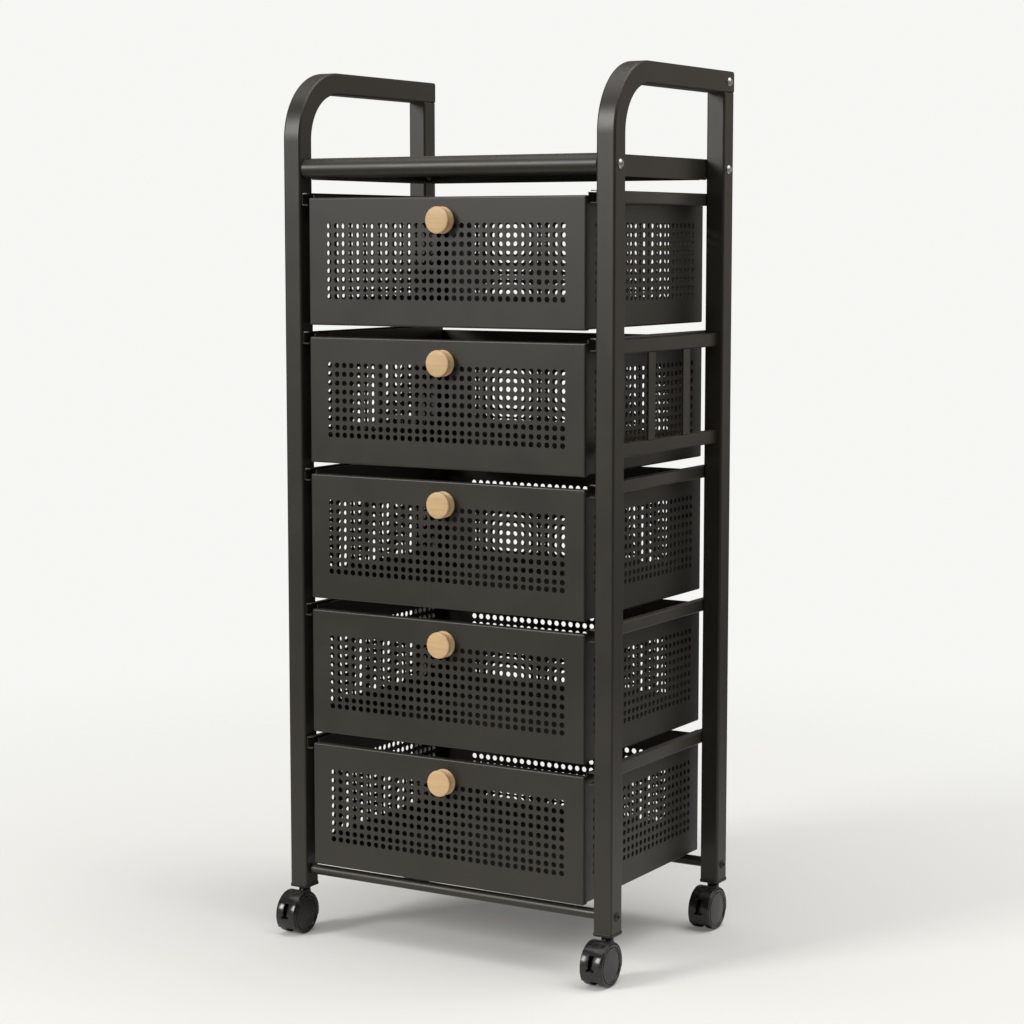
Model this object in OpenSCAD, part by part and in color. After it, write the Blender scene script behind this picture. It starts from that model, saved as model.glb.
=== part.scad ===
// Rolling five-drawer salon trolley: two bent-tube side frames, a sheet shelf,
// five perforated sliding drawers and four twin-wheel swivel casters.
// Millimetres. +Z is up, the drawers open towards -Y and the floor is at z = 0.

/* [Overall] */
// Height from the floor to the top of the push handles
total_h = 1010; // [840:1:1250]
// Distance between the left and right post centres
post_pitch_x = 410; // [340:1:500]
// Distance between the front and rear post centres
post_pitch_y = 265; // [220:1:330]

/* [Frame tubes] */
// Post width, side to side
post_w = 23; // [19:0.5:28]
// Post depth, front to back, which is also the height of the handle tube
post_d = 25; // [21:0.5:30]
// Wall of the rectangular tubes
tube_wall = 1.2; // [1:0.1:2]
// Outer corner radius of the rectangular tubes
tube_corner = 2.5; // [1.5:0.1:3.5]
// Outer radius of the bend from front post into handle
bend_r = 80; // [65:1:100]
// Height of the handle top above the shelf surface
handle_rise = 100.5; // [85:0.5:120]

/* [Shelf and rails] */
// Diameter of the two upper cross rails
top_rail_d = 22; // [18:0.5:26]
// Diameter of the two lower cross rails
low_rail_d = 12; // [10:0.5:15]
// Wall of the round rails
rail_wall = 1.5; // [1:0.1:2]
// Length of the threaded insert welded into each rail end
insert_l = 12; // [8:0.5:20]
// Height of the shelf's turned-down flanges, sheet included
shelf_flange_h = 24; // [18:0.5:30]
// Height of the lower rail centre above the foot of the posts
low_rail_rise = 18; // [17:0.5:30]

/* [Side braces] */
// Height of the two brace tubes on each side
brace_h = 15.5; // [10:0.5:20]
// Thickness of the brace tubes
brace_t = 10; // [6:0.5:12]
// How far the brace's outer face lies inside the post's outer face
brace_inset = 7; // [4:0.5:10]
// Width of the upright flat bars
bar_w = 17; // [12:0.5:25]
// Thickness of the upright flat bars
bar_t = 2; // [1.5:0.5:5]
// Distance between the two bars' centre lines
bar_pitch = 85; // [60:1:120]
// How far the upper brace tube's top lies below the top of the second runner
brace_drop = 2.5; // [0:0.5:10]
// How far the lower brace tube's underside lies above the second drawer's lower edge
brace_low_rise = 19.5; // [10:0.5:30]

/* [Drawers] */
// Thickness of all sheet metal
sheet = 1; // [0.8:0.1:1.5]
// Clear gap between two drawer fronts, one above the other
drawer_gap = 13.5; // [11:0.5:18]
// Gap between the shelf flange and the top drawer front
top_gap = 21; // [15:0.5:30]
// Gap between the lower rail and the bottom drawer front
low_gap = 4.5; // [2:0.5:15]
// Gap between each side of a drawer front and the post beside it
front_side_gap = 12; // [10.5:0.5:16]
// Depth of the folded edge round each drawer front
front_fold = 8; // [5:0.5:12]
// How far the drawers' backs and the runners' rear ends stay inside the rear face of the posts
back_gap = 6.4; // [5:0.2:12]
// How far a drawer pulls out before its stop
drawer_travel = 200; // [120:5:210]

/* [Perforation] */
// Diameter of the punched holes
hole_d = 6.4; // [4:0.1:7.5]
// Column spacing on the drawer fronts and backs
hole_step_x = 9.9; // [9:0.1:14]
// Column spacing on the drawer sides
hole_step_y = 10.1; // [9:0.1:14]
// Row spacing
hole_step_z = 10.2; // [9:0.1:14]
// Spacing of the lowest row, which sits closer
last_step_z = 8.7; // [8.2:0.1:14]
// Least plain margin left and right of the holes in a front or a side
hole_side_margin = 24.5; // [16:0.5:40]
// Least plain margin left and right of the holes in a back
back_side_margin = 46; // [16:0.5:60]
// Plain margin above the top row's centres
hole_top_margin = 32; // [20:0.5:45]
// Least plain margin below the bottom row's centres
hole_low_margin = 32; // [20:0.5:45]

/* [Runners] */
// Height of the C-shaped runners
runner_h = 14.2; // [12:0.2:18]
// Width of the runner flanges, web included
runner_w = 8; // [6:0.5:9]
// Thickness of the runner sheet and of the drawer's slide hook
runner_t = 1.2; // [1:0.1:1.5]
// Height of the runner's top above the drawer front's upper edge
runner_rise = 5.5; // [4:0.5:7]
// How far the runner's front end stays inside the front face of the posts
runner_front_gap = 3.5; // [2:0.5:10]
// Working clearance of the slide hook in its runner
slide_clear = 0.4; // [0.3:0.05:0.6]

/* [Knobs] */
// Diameter of the turned wooden knob
knob_d = 30; // [24:1:36]
// How far the knob stands out from the drawer front
knob_l = 14; // [12:0.5:14.5]
// Thickness of the knob's rear rim
knob_rim = 3.5; // [2.5:0.5:5]
// Depth of the knob's concave waist
waist_depth = 2; // [1:0.25:4]
// Distance of the knob centre below the drawer front's upper edge
knob_drop = 26; // [22:0.5:30]
// Wood left between the screw's bore and the knob's face
knob_face_t = 3.5; // [2.5:0.5:5]
// Diameter of the knob screw
knob_screw_d = 4; // [3:0.5:5]
// Diameter of the knob screw's pan head
knob_head_d = 8; // [7:0.5:10]
// Height of the knob screw's pan head
knob_head_h = 2.5; // [1.5:0.5:3]

/* [Fasteners] */
// Thread diameter of the frame bolts
bolt_d = 6; // [5:0.5:7]
// Diameter of the button heads
bolt_head_d = 10.5; // [10:0.5:12]
// Height of the button heads
bolt_head_h = 2.6; // [2:0.1:3.5]
// Width across corners of the hexagon socket
bolt_socket_d = 4.2; // [3:0.1:5]
// Depth of the hexagon socket
bolt_socket_h = 1.6; // [1:0.1:1.8]
// Length of the handle bolts under the head
handle_bolt_l = 11; // [8:0.5:15]
// Radial clearance of a bolt in a plain hole
bolt_clear = 0.2; // [0.1:0.05:0.4]

/* [Feet and casters] */
// Thickness of the foot cap's visible flange
foot_flange = 3.5; // [2:0.5:6]
// How far the foot cap stands out round the post
foot_lip = 0.75; // [0.5:0.25:2]
// Length of the foot cap inside the post
foot_plug_l = 11; // [8:0.5:13]
// Diameter of each caster wheel
wheel_d = 48; // [40:1:60]
// Overall width of a twin-wheel caster
caster_w = 28; // [26:0.5:36]
// Width of the caster hood's middle web
web_w = 8; // [8:0.5:12]
// Distance from the swivel axis to the wheel axle
caster_trail = 15; // [12:0.5:20]
// Thickness of the hood over the treads
hood_wall = 1.4; // [1:0.1:2.5]
// Gap between a wheel and the hood, over the tread and beside the web
wheel_gap = 0.6; // [0.4:0.1:1.5]
// How far the hood's rims stay inside the wheels' outer faces
hood_inset = 1; // [0.5:0.5:2]
// Width of the slot in the hood's front
slot_w = 5.6; // [3:0.2:6.4]
// Height of the slot in the hood's front, its wider foot included
slot_h = 18; // [12:0.5:20]
// Width of the slot's foot
slot_foot_w = 10; // [6:0.5:14]
// Angle below the axle down to which the hood reaches in front
hood_front_angle = 35; // [10:1:38]
// Angle below the axle down to which the hood reaches at the back
hood_rear_angle = 15; // [5:1:30]
// Width of the smooth tread round a wheel's outer disc
rim_w = 4.5; // [3:0.5:6]
// Radius of the tread's outer shoulder
shoulder_r = 1.5; // [0.5:0.1:2]
// Diameter of the wheel axle
axle_d = 6; // [5:0.5:8]
// Diameter of the swivel pin inside the hood
swivel_d = 5; // [4:0.5:5.5]
// Diameter of the stem's collar
collar_d = 11; // [9:0.5:13]
// Height of the stem's collar
collar_h = 2.5; // [2:0.5:5]
// Diameter of the stem inside the foot cap
shank_d = 8; // [6:0.5:10]
// Radial running clearance of pins and axles
run_clear = 0.05; // [0.02:0.01:0.08]

/* [Hidden] */
$fn = 48;
eps = 0.01;
drawer_count = 5;
drawers = [1:drawer_count];
sides = ["left", "right"];
corners = ["front_left", "front_right", "rear_left", "rear_right"];
drawer_parts = ["front", "box", "knob", "knob_screw"];
caster_parts = ["stem", "hood", "axle", "left_wheel", "right_wheel"];

// Heights, from the floor up
wheel_r = wheel_d / 2;
axle_z = wheel_r;
hood_r = wheel_r + wheel_gap + hood_wall;
hub_top_gap = 0.5;
hub_z = axle_z + hood_r + hub_top_gap;
collar_z = hub_z + hub_top_gap;
foot_z = collar_z + collar_h;
post_z = foot_z + foot_flange;
low_rail_z = post_z + low_rail_rise;
shelf_z = total_h - handle_rise;
top_rail_z = shelf_z - sheet - top_rail_d / 2;
stack_low = low_rail_z + low_rail_d / 2 + low_gap;
stack_top = shelf_z - shelf_flange_h - top_gap;
front_h = (stack_top - stack_low - (drawer_count - 1) * drawer_gap) / drawer_count;
function front_low(n) = stack_top - n * front_h - (n - 1) * drawer_gap;
function front_top(n) = front_low(n) + front_h;

// Depth positions, centred on the whole object's box
front_reach = post_pitch_y / 2 + max(caster_trail + hood_r, post_d / 2 + knob_l);
rear_reach = post_pitch_y / 2 + max(hood_r - caster_trail, post_d / 2 + foot_lip);
mid_y = (front_reach - rear_reach) / 2;
front_y = mid_y - post_pitch_y / 2;
rear_y = mid_y + post_pitch_y / 2;
face_y = front_y - post_d / 2;
back_y = rear_y + post_d / 2;
function post_y(c) = (c == "front_left" || c == "front_right") ? front_y : rear_y;

// Side positions
post_x = post_pitch_x / 2;
inner_x = post_x - post_w / 2;
outer_x = post_x + post_w / 2;
function corner_x(c) = (c == "front_left" || c == "rear_left") ? -post_x : post_x;
function sign_of(side) = side == "left" ? -1 : 1;

// Drawer body
front_half_w = inner_x - front_side_gap;
body_half_w = front_half_w - sheet;
body_front_y = face_y + sheet;
body_back_y = back_y - back_gap;
body_depth = body_back_y - body_front_y;
fold_clear = 0.5;

// Runner and slide hook, measured from the drawer front's upper edge
runner_top = runner_rise;
runner_low = runner_top - runner_h;
runner_y0 = face_y + runner_front_gap;
runner_y1 = back_y - back_gap;
hook_top = runner_top - runner_t - 2 * slide_clear;
hook_low = runner_low + runner_t + slide_clear;
hook_x = inner_x - runner_t - 1.5 * slide_clear;
hook_setback = 30;
hook_y0 = face_y + front_fold + hook_setback;
hook_y1 = runner_y1 - runner_t - slide_clear;
stop_h = 4;
stop_w = 3;
stop_t = 2;
stop_y = hook_y1 - runner_t - drawer_travel - slide_clear - stop_t;

// Handle connector inside the handle end and the rear post
plug_clear = 0.2;
plug_w = post_w - 2 * (tube_wall + plug_clear);
plug_d = post_d - 2 * (tube_wall + plug_clear);
connector_in_post = 25;
end_cap_t = 2;
end_plug_l = 5;
connector_y0 = rear_y - plug_d / 2;
connector_y1 = back_y - end_cap_t - end_plug_l - plug_clear;
connector_y = (connector_y0 + connector_y1) / 2;
connector_d = connector_y1 - connector_y0;
handle_low_z = total_h - post_d;
handle_mid_z = total_h - post_d / 2;
bolt_end_gap = 0.5;
screw_end_gap = 1.5;

// Casters, measured from the axle
wheel_in = web_w / 2 + wheel_gap;
wheel_out = caster_w / 2;
hood_half_w = wheel_out - hood_inset;
well_r = wheel_r + wheel_gap;
axle_half_l = wheel_out - 3;
axle_end_gap = 0.5;
hub_d = 14;
web_margin = 0.5;
web_drop = hood_r * sin(hood_front_angle) + web_margin;
slot_low = -3;
slot_foot_h = 3;
slot_depth = 4;
swivel_depth = 12;
swivel_end_gap = 0.5;
shank_l = foot_plug_l - 1;
disc_groove_w = 1.5;
disc_groove_depth = 1.2;
hub_wall = 4;
wheel_recess = 3;

steel = [0.27, 0.26, 0.24];
steel_light = [0.34, 0.32, 0.30];
zinc = [0.75, 0.74, 0.72];
black = [0.10, 0.10, 0.10];
beech = [0.88, 0.75, 0.56];

// ---------- shared shapes ----------

// The right-hand piece, or its mirror image on the left
module on_side(side) {
    mirror([side == "left" ? 1 : 0, 0, 0]) children();
}

module both_sides() {
    for (side = sides) on_side(side) children();
}

// Rectangle with true round corners
module round_rect(w, d, r) {
    square([w - 2 * r, d], center = true);
    square([w, d - 2 * r], center = true);
    for (sx = [-1, 1], sy = [-1, 1])
        translate([sx * (w / 2 - r), sy * (d / 2 - r)]) circle(r);
}

module tube_section(w, d) {
    difference() {
        round_rect(w, d, tube_corner);
        round_rect(w - 2 * tube_wall, d - 2 * tube_wall, tube_corner - tube_wall);
    }
}

// Cylinder along X from x0 to x1
module rod_x(x0, x1, r) {
    translate([x0, 0, 0]) rotate([0, 90, 0]) cylinder(r = r, h = x1 - x0);
}

// Cylinder along Y from y0 to y1
module rod_y(y0, y1, r) {
    translate([0, y0, 0]) rotate([-90, 0, 0]) cylinder(r = r, h = y1 - y0);
}

module box_between(a, b) {
    translate(a) cube(b - a);
}

// ---------- frame ----------

// The holes for one cross-rail bolt, through both walls of a post
module rail_bolt_hole(y, z) {
    translate([0, y, z]) rod_x(inner_x - 1, outer_x + 1, bolt_d / 2 + bolt_clear);
}

// Front post, bend and handle in one tube
module handle_tube(side) {
    bend_y = face_y + bend_r;
    bend_z = total_h - bend_r;
    color(steel) on_side(side) difference() {
        union() {
            translate([post_x, front_y, post_z])
                linear_extrude(bend_z - post_z) tube_section(post_w, post_d);
            translate([post_x, bend_y, bend_z]) rotate([90, 0, -90])
                rotate_extrude(angle = 90, $fn = 96)
                    translate([bend_r - post_d / 2, 0]) tube_section(post_d, post_w);
            translate([post_x, bend_y, handle_mid_z]) rotate([-90, 0, 0])
                linear_extrude(back_y - end_cap_t - bend_y) tube_section(post_w, post_d);
        }
        rail_bolt_hole(front_y, top_rail_z);
        rail_bolt_hole(front_y, low_rail_z);
        translate([0, rear_y, handle_mid_z]) rod_x(post_x, outer_x + 1, bolt_d / 2 + bolt_clear);
        translate([post_x, connector_y, handle_low_z])
            cube([plug_w + plug_clear, connector_d + plug_clear, 3 * tube_wall], center = true);
    }
}

module rear_post(side) {
    color(steel) on_side(side) difference() {
        translate([post_x, rear_y, post_z])
            linear_extrude(handle_low_z - post_z) tube_section(post_w, post_d);
        rail_bolt_hole(rear_y, top_rail_z);
        rail_bolt_hole(rear_y, low_rail_z);
    }
}

// Two flat tubes and two upright bars beside the second drawer
module brace(side) {
    y0 = front_y + post_d / 2;
    y1 = rear_y - post_d / 2;
    x1 = outer_x - brace_inset;
    top_z = front_top(2) + runner_rise - brace_drop - brace_h;
    low_z = front_low(2) + brace_low_rise;
    color(steel) on_side(side) {
        for (z = [low_z, top_z]) difference() {
            box_between([x1 - brace_t, y0, z], [x1, y1, z + brace_h]);
            box_between([x1 - brace_t + tube_wall, y0 - 1, z + tube_wall],
                        [x1 - tube_wall, y1 + 1, z + brace_h - tube_wall]);
        }
        for (s = [-1, 1])
            translate([x1 - bar_t, mid_y + s * bar_pitch / 2 - bar_w / 2, low_z + brace_h])
                cube([bar_t, bar_w, top_z - low_z - brace_h]);
    }
}

module cross_rail(y, z, d) {
    color(steel_light) translate([0, y, z]) difference() {
        rod_x(-inner_x, inner_x, d / 2);
        rod_x(-inner_x + insert_l, inner_x - insert_l, d / 2 - rail_wall);
        rod_x(-inner_x - 1, inner_x + 1, bolt_d / 2);
    }
}

// Tray with its flanges turned down at both sides and at the back
module shelf() {
    flange_y0 = front_y + top_rail_d / 2 + bolt_clear;
    flange_y1 = rear_y - top_rail_d / 2 - bolt_clear;
    low_z = shelf_z - shelf_flange_h;
    color(steel) {
        box_between([-inner_x, front_y, shelf_z - sheet], [inner_x, rear_y, shelf_z]);
        both_sides()
            box_between([inner_x - sheet, flange_y0, low_z], [inner_x, flange_y1, shelf_z - eps]);
        box_between([-inner_x, flange_y1 - sheet, low_z], [inner_x, flange_y1, shelf_z - eps]);
    }
}

// Steel block that joins the handle's rear end to the rear post
module handle_connectors() {
    top_z = total_h - tube_wall - plug_clear;
    low_z = handle_low_z - connector_in_post;
    color(zinc) both_sides() difference() {
        translate([post_x - plug_w / 2, connector_y0, low_z])
            cube([plug_w, connector_d, top_z - low_z]);
        translate([0, rear_y, handle_mid_z])
            rod_x(outer_x - handle_bolt_l - bolt_end_gap, outer_x, bolt_d / 2);
    }
}

module handle_end_plugs() {
    y1 = back_y - end_cap_t;
    color(black) both_sides() translate([post_x, 0, handle_mid_z]) {
        translate([0, back_y, 0]) rotate([90, 0, 0])
            linear_extrude(end_cap_t) round_rect(post_w, post_d, tube_corner);
        box_between([-plug_w / 2, y1 - end_plug_l, -plug_d / 2], [plug_w / 2, y1 + eps, plug_d / 2]);
    }
}

module foot_caps() {
    color(black) for (c = corners) translate([corner_x(c), post_y(c), 0]) difference() {
        union() {
            translate([0, 0, foot_z]) linear_extrude(foot_flange)
                round_rect(post_w + 2 * foot_lip, post_d + 2 * foot_lip, tube_corner);
            translate([-plug_w / 2, -plug_d / 2, foot_z])
                cube([plug_w, plug_d, foot_flange + foot_plug_l]);
        }
        translate([0, 0, foot_z - 1]) cylinder(d = shank_d, h = foot_flange + foot_plug_l + 2);
    }
}

// ---------- fasteners ----------

// Button-head bolt whose head sits on the outer face of a post
module bolt(l) {
    difference() {
        union() {
            rod_x(-l, 0, bolt_d / 2);
            rotate([0, 90, 0]) rotate_extrude() intersection() {
                square([bolt_head_d / 2, bolt_head_h]);
                translate([0, bolt_head_h - bolt_head_d]) circle(bolt_head_d);
            }
        }
        rod_x(bolt_head_h - bolt_socket_h, bolt_head_h + 1, bolt_socket_d / 2, $fn = 6);
    }
}

module handle_bolts() {
    color(zinc) both_sides()
        translate([outer_x, rear_y, handle_mid_z]) bolt(handle_bolt_l);
}

module rail_bolts(z) {
    both_sides() for (y = [front_y, rear_y])
        translate([outer_x, y, z]) bolt(post_w + insert_l);
}

module top_rail_bolts() {
    color(zinc) rail_bolts(top_rail_z);
}

module low_rail_bolts() {
    color(black) rail_bolts(low_rail_z);
}

// ---------- runners ----------

// C-shaped runners for all drawers on one side, each with its two stops
module runners(side) {
    color(steel_light) on_side(side) for (n = drawers) translate([0, 0, front_top(n)]) {
        box_between([inner_x - runner_t, runner_y0, runner_low], [inner_x, runner_y1, runner_top]);
        for (z = [runner_low, runner_top - runner_t])
            translate([inner_x - runner_w, runner_y0, z])
                cube([runner_w, runner_y1 - runner_y0, runner_t]);
        box_between([inner_x - runner_w, runner_y1 - runner_t, runner_low],
                    [inner_x, runner_y1, runner_top]);
        translate([inner_x - runner_w, stop_y, runner_low]) cube([stop_w, stop_t, stop_h]);
    }
}

// ---------- drawers ----------

// Number of steps that fit in a length
function steps(l, step) = floor(l / step + eps);

// Grid of punched holes for a sheet of width w, centred on x = 0, with z up
module hole_grid(w, step, side_margin) {
    gaps = steps(w - 2 * side_margin, step);
    rows = steps(front_h - hole_top_margin - hole_low_margin - last_step_z, hole_step_z) + 2;
    for (i = [0:gaps], j = [0:rows - 1])
        translate([(i - gaps / 2) * step, front_h - hole_top_margin - hole_drop(j, rows)])
            circle(d = hole_d, $fn = 20);
}

// Depth of a hole row below the first one
function hole_drop(row, rows) =
    row < rows - 1 ? row * hole_step_z : (row - 1) * hole_step_z + last_step_z;

// Perforated front panel with its edges folded back
module drawer_front(n) {
    color(steel) translate([0, face_y, front_low(n)]) difference() {
        union() {
            translate([0, sheet, 0]) rotate([90, 0, 0]) linear_extrude(sheet) difference() {
                translate([-front_half_w, 0]) square([2 * front_half_w, front_h]);
                hole_grid(2 * front_half_w, hole_step_x, hole_side_margin);
            }
            difference() {
                box_between([-front_half_w, sheet - eps, 0], [front_half_w, front_fold, front_h]);
                box_between([-body_half_w, 0, sheet], [body_half_w, front_fold + 1, front_h - sheet]);
            }
        }
        translate([0, 0, front_h - knob_drop]) rod_y(-1, sheet + 1, knob_screw_d / 2 + run_clear);
    }
}

// One side sheet, which steps up behind the front's folded edge
module drawer_side() {
    side_h = front_h - sheet;
    step_y = front_fold - sheet + fold_clear;
    color(steel) translate([body_half_w - sheet, body_front_y, 0]) rotate([90, 0, 90])
        linear_extrude(sheet) difference() {
            union() {
                translate([0, sheet]) square([body_depth, side_h - sheet]);
                translate([step_y, sheet]) square([body_depth - step_y, front_h + hook_top - sheet]);
            }
            translate([body_depth / 2, 0]) hole_grid(body_depth, hole_step_y, hole_side_margin);
        }
}

// Folded slide hook that runs inside the C-shaped runner
module slide_hook() {
    color(steel_light) translate([0, 0, front_h]) {
        box_between([body_half_w, hook_y0, hook_top - runner_t], [hook_x, hook_y1, hook_top]);
        box_between([hook_x - runner_t, hook_y0, hook_low], [hook_x, hook_y1, hook_top - eps]);
        box_between([body_half_w, hook_y1 - runner_t, runner_low + stop_h - 1],
                    [hook_x, hook_y1, hook_top - eps]);
    }
}

// Sides, back, bottom and slide hooks of one drawer
module drawer_box(n) {
    inner_w = body_half_w - sheet;
    translate([0, 0, front_low(n)]) {
        both_sides() {
            drawer_side();
            slide_hook();
        }
        color(steel) translate([0, body_back_y, 0]) rotate([90, 0, 0])
            linear_extrude(sheet) difference() {
                translate([-inner_w, sheet]) square([2 * inner_w, front_h - 2 * sheet]);
                hole_grid(2 * body_half_w, hole_step_x, back_side_margin);
            }
        color(steel) box_between([-inner_w, body_front_y, sheet],
                                 [inner_w, body_back_y - sheet, 2 * sheet]);
    }
}

// Turned wooden knob with a concave waist, drilled from behind
module drawer_knob(n) {
    waist_l = knob_l - 2 * knob_rim;
    waist_r = (pow(waist_l / 2, 2) + pow(waist_depth, 2)) / (2 * waist_depth);
    color(beech) translate([0, face_y, front_top(n) - knob_drop]) rotate([90, 0, 0]) difference() {
        rotate_extrude($fn = 64) difference() {
            square([knob_d / 2, knob_l]);
            translate([knob_d / 2 - waist_depth + waist_r, knob_l / 2]) circle(waist_r, $fn = 96);
        }
        translate([0, 0, -1])
            cylinder(r = knob_screw_d / 2 + run_clear, h = knob_l - knob_face_t + 1);
    }
}

module drawer_knob_screw(n) {
    head_y = face_y + sheet;
    end_y = face_y - knob_l + knob_face_t + screw_end_gap;
    color(zinc) translate([0, 0, front_top(n) - knob_drop]) {
        rod_y(end_y, head_y + eps, knob_screw_d / 2);
        rod_y(head_y, head_y + knob_head_h, knob_head_d / 2);
    }
}

// ---------- casters ----------

// Puts a caster piece, drawn with its axle at the origin, at one corner
module at_axle(c) {
    translate([corner_x(c), post_y(c) - caster_trail, axle_z]) children();
}

// Stem: swivel pin below, collar, and the shank that is pressed into the foot cap
module caster_stem(c) {
    color(zinc) translate([corner_x(c), post_y(c), 0]) {
        translate([0, 0, hub_z - swivel_depth]) cylinder(d = swivel_d, h = swivel_depth + 1);
        translate([0, 0, collar_z]) cylinder(d = collar_d, h = collar_h);
        translate([0, 0, foot_z - eps]) cylinder(d = shank_d, h = foot_flange + shank_l);
    }
}

// Hood: a middle web with a shell over both treads and a boss for the stem
module caster_hood(c) {
    color(black) at_axle(c) difference() {
        union() {
            rod_x(-hood_half_w, hood_half_w, hood_r);
            translate([0, caster_trail, 0]) cylinder(d = hub_d, h = hub_z - axle_z);
        }
        both_sides() rod_x(web_w / 2, wheel_out + 1, well_r);
        for (end = [[-1, hood_front_angle], [1, hood_rear_angle]]) both_sides()
            translate([web_w / 2, 0, 0]) rotate([-end[0] * end[1], 0, 0])
                translate([0, end[0] > 0 ? 0 : -2 * hood_r, -2 * hood_r])
                    cube([wheel_out, 2 * hood_r, 2 * hood_r]);
        translate([-wheel_out, -2 * hood_r, -web_drop - 2 * hood_r])
            cube([caster_w, 4 * hood_r, 2 * hood_r]);
        translate([-slot_w / 2, -hood_r - 1, slot_low])
            cube([slot_w, hood_wall + slot_depth + 1, slot_h]);
        translate([-slot_foot_w / 2, -hood_r - 1, slot_low])
            cube([slot_foot_w, hood_r - well_r + wheel_gap + 1, slot_foot_h]);
        rod_x(-web_w, web_w, axle_d / 2);
        translate([0, caster_trail, hub_z - axle_z - swivel_depth - swivel_end_gap])
            cylinder(r = swivel_d / 2 + run_clear, h = swivel_depth + 2);
    }
}

module caster_axle(c) {
    color(zinc) at_axle(c) rod_x(-axle_half_l, axle_half_l, axle_d / 2);
}

// One wheel: tread, closed outer face with a raised disc, and a blind bore
module caster_wheel(c, side) {
    bore_end = axle_half_l + axle_end_gap;
    boss_r = axle_d / 2 + hub_wall;
    color(black) at_axle(c) on_side(side) rotate([0, 90, 0]) rotate_extrude($fn = 96) difference() {
        translate([0, wheel_in]) square([wheel_r, wheel_out - wheel_in]);
        translate([wheel_r - rim_w - disc_groove_w, wheel_out - disc_groove_depth])
            square([disc_groove_w, disc_groove_depth + 1]);
        translate([boss_r, wheel_in - 1])
            square([wheel_r - rim_w - boss_r, wheel_recess + 1]);
        translate([-1, wheel_in - 1])
            square([1 + axle_d / 2 + run_clear, bore_end - wheel_in + 1]);
        translate([wheel_r, wheel_out]) circle(shoulder_r);
    }
}

for (side = sides) {
    handle_tube(side);
    rear_post(side);
    brace(side);
    runners(side);
}
shelf();
cross_rail(front_y, top_rail_z, top_rail_d);  // top_front_rail
cross_rail(rear_y, top_rail_z, top_rail_d);  // top_rear_rail
cross_rail(front_y, low_rail_z, low_rail_d);  // low_front_rail
cross_rail(rear_y, low_rail_z, low_rail_d);  // low_rear_rail
handle_connectors();
handle_end_plugs();
foot_caps();
handle_bolts();
top_rail_bolts();
low_rail_bolts();
for (n = drawers) {
    drawer_front(n);
    drawer_box(n);
    drawer_knob(n);
    drawer_knob_screw(n);
}
for (c = corners) {
    caster_stem(c);
    caster_hood(c);
    caster_axle(c);
    caster_wheel(c, "left");
    caster_wheel(c, "right");
}
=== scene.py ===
"""Looks of a rolling five-drawer salon trolley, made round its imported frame.

Every visible piece is a surface worked out with numpy: a tube or a rail is a profile carried along
a path, a knob or a wheel is a profile turned about an axis, and a perforated sheet is a grid whose
cells each hold a ring of faces round one punched hole. Places come from the frame's own boxes, all
sizes are in metres, and the drawers open towards -Y.
"""

import logging
import math
from dataclasses import dataclass, field, replace
from enum import Enum

import bpy
import numpy as np
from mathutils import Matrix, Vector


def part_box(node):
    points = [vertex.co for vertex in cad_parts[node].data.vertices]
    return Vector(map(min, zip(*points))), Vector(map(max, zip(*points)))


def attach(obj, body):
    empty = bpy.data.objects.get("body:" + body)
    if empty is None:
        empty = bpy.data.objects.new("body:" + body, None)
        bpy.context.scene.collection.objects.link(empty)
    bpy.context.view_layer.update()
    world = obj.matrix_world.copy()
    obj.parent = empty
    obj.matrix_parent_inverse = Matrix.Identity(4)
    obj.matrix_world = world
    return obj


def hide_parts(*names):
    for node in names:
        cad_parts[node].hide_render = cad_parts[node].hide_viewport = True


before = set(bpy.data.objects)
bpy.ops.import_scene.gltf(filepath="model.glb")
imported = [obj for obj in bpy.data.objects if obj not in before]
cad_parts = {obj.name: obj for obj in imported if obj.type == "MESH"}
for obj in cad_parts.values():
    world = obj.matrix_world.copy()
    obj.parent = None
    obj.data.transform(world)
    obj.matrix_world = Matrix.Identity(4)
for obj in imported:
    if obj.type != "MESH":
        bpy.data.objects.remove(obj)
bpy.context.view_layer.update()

MM = 0.001
MICROMETRE = 1e-6
QUARTER = 90.0
SHARP_EDGE = 28.0
CHAMFERED_EDGE = 40.0
LOG = logging.getLogger("trolley")

Array = np.ndarray
Tree = bpy.types.NodeTree
Socket = bpy.types.NodeSocket
X_AXIS = np.array([1.0, 0.0, 0.0])
Y_AXIS = np.array([0.0, 1.0, 0.0])
Z_AXIS = np.array([0.0, 0.0, 1.0])


class Side(Enum):
    """The two sides of the trolley, with the sign of X on each."""

    LEFT = -1
    RIGHT = 1

    @property
    def word(self) -> str:
        """The side's name as the frame's nodes spell it."""
        return self.name.lower()


class Corner(Enum):
    """The four corners, each under one post."""

    FRONT_LEFT = "front_left"
    FRONT_RIGHT = "front_right"
    REAR_LEFT = "rear_left"
    REAR_RIGHT = "rear_right"


DRAWERS = range(1, 6)


# ---------------------------------------------------------------- surfaces


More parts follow.
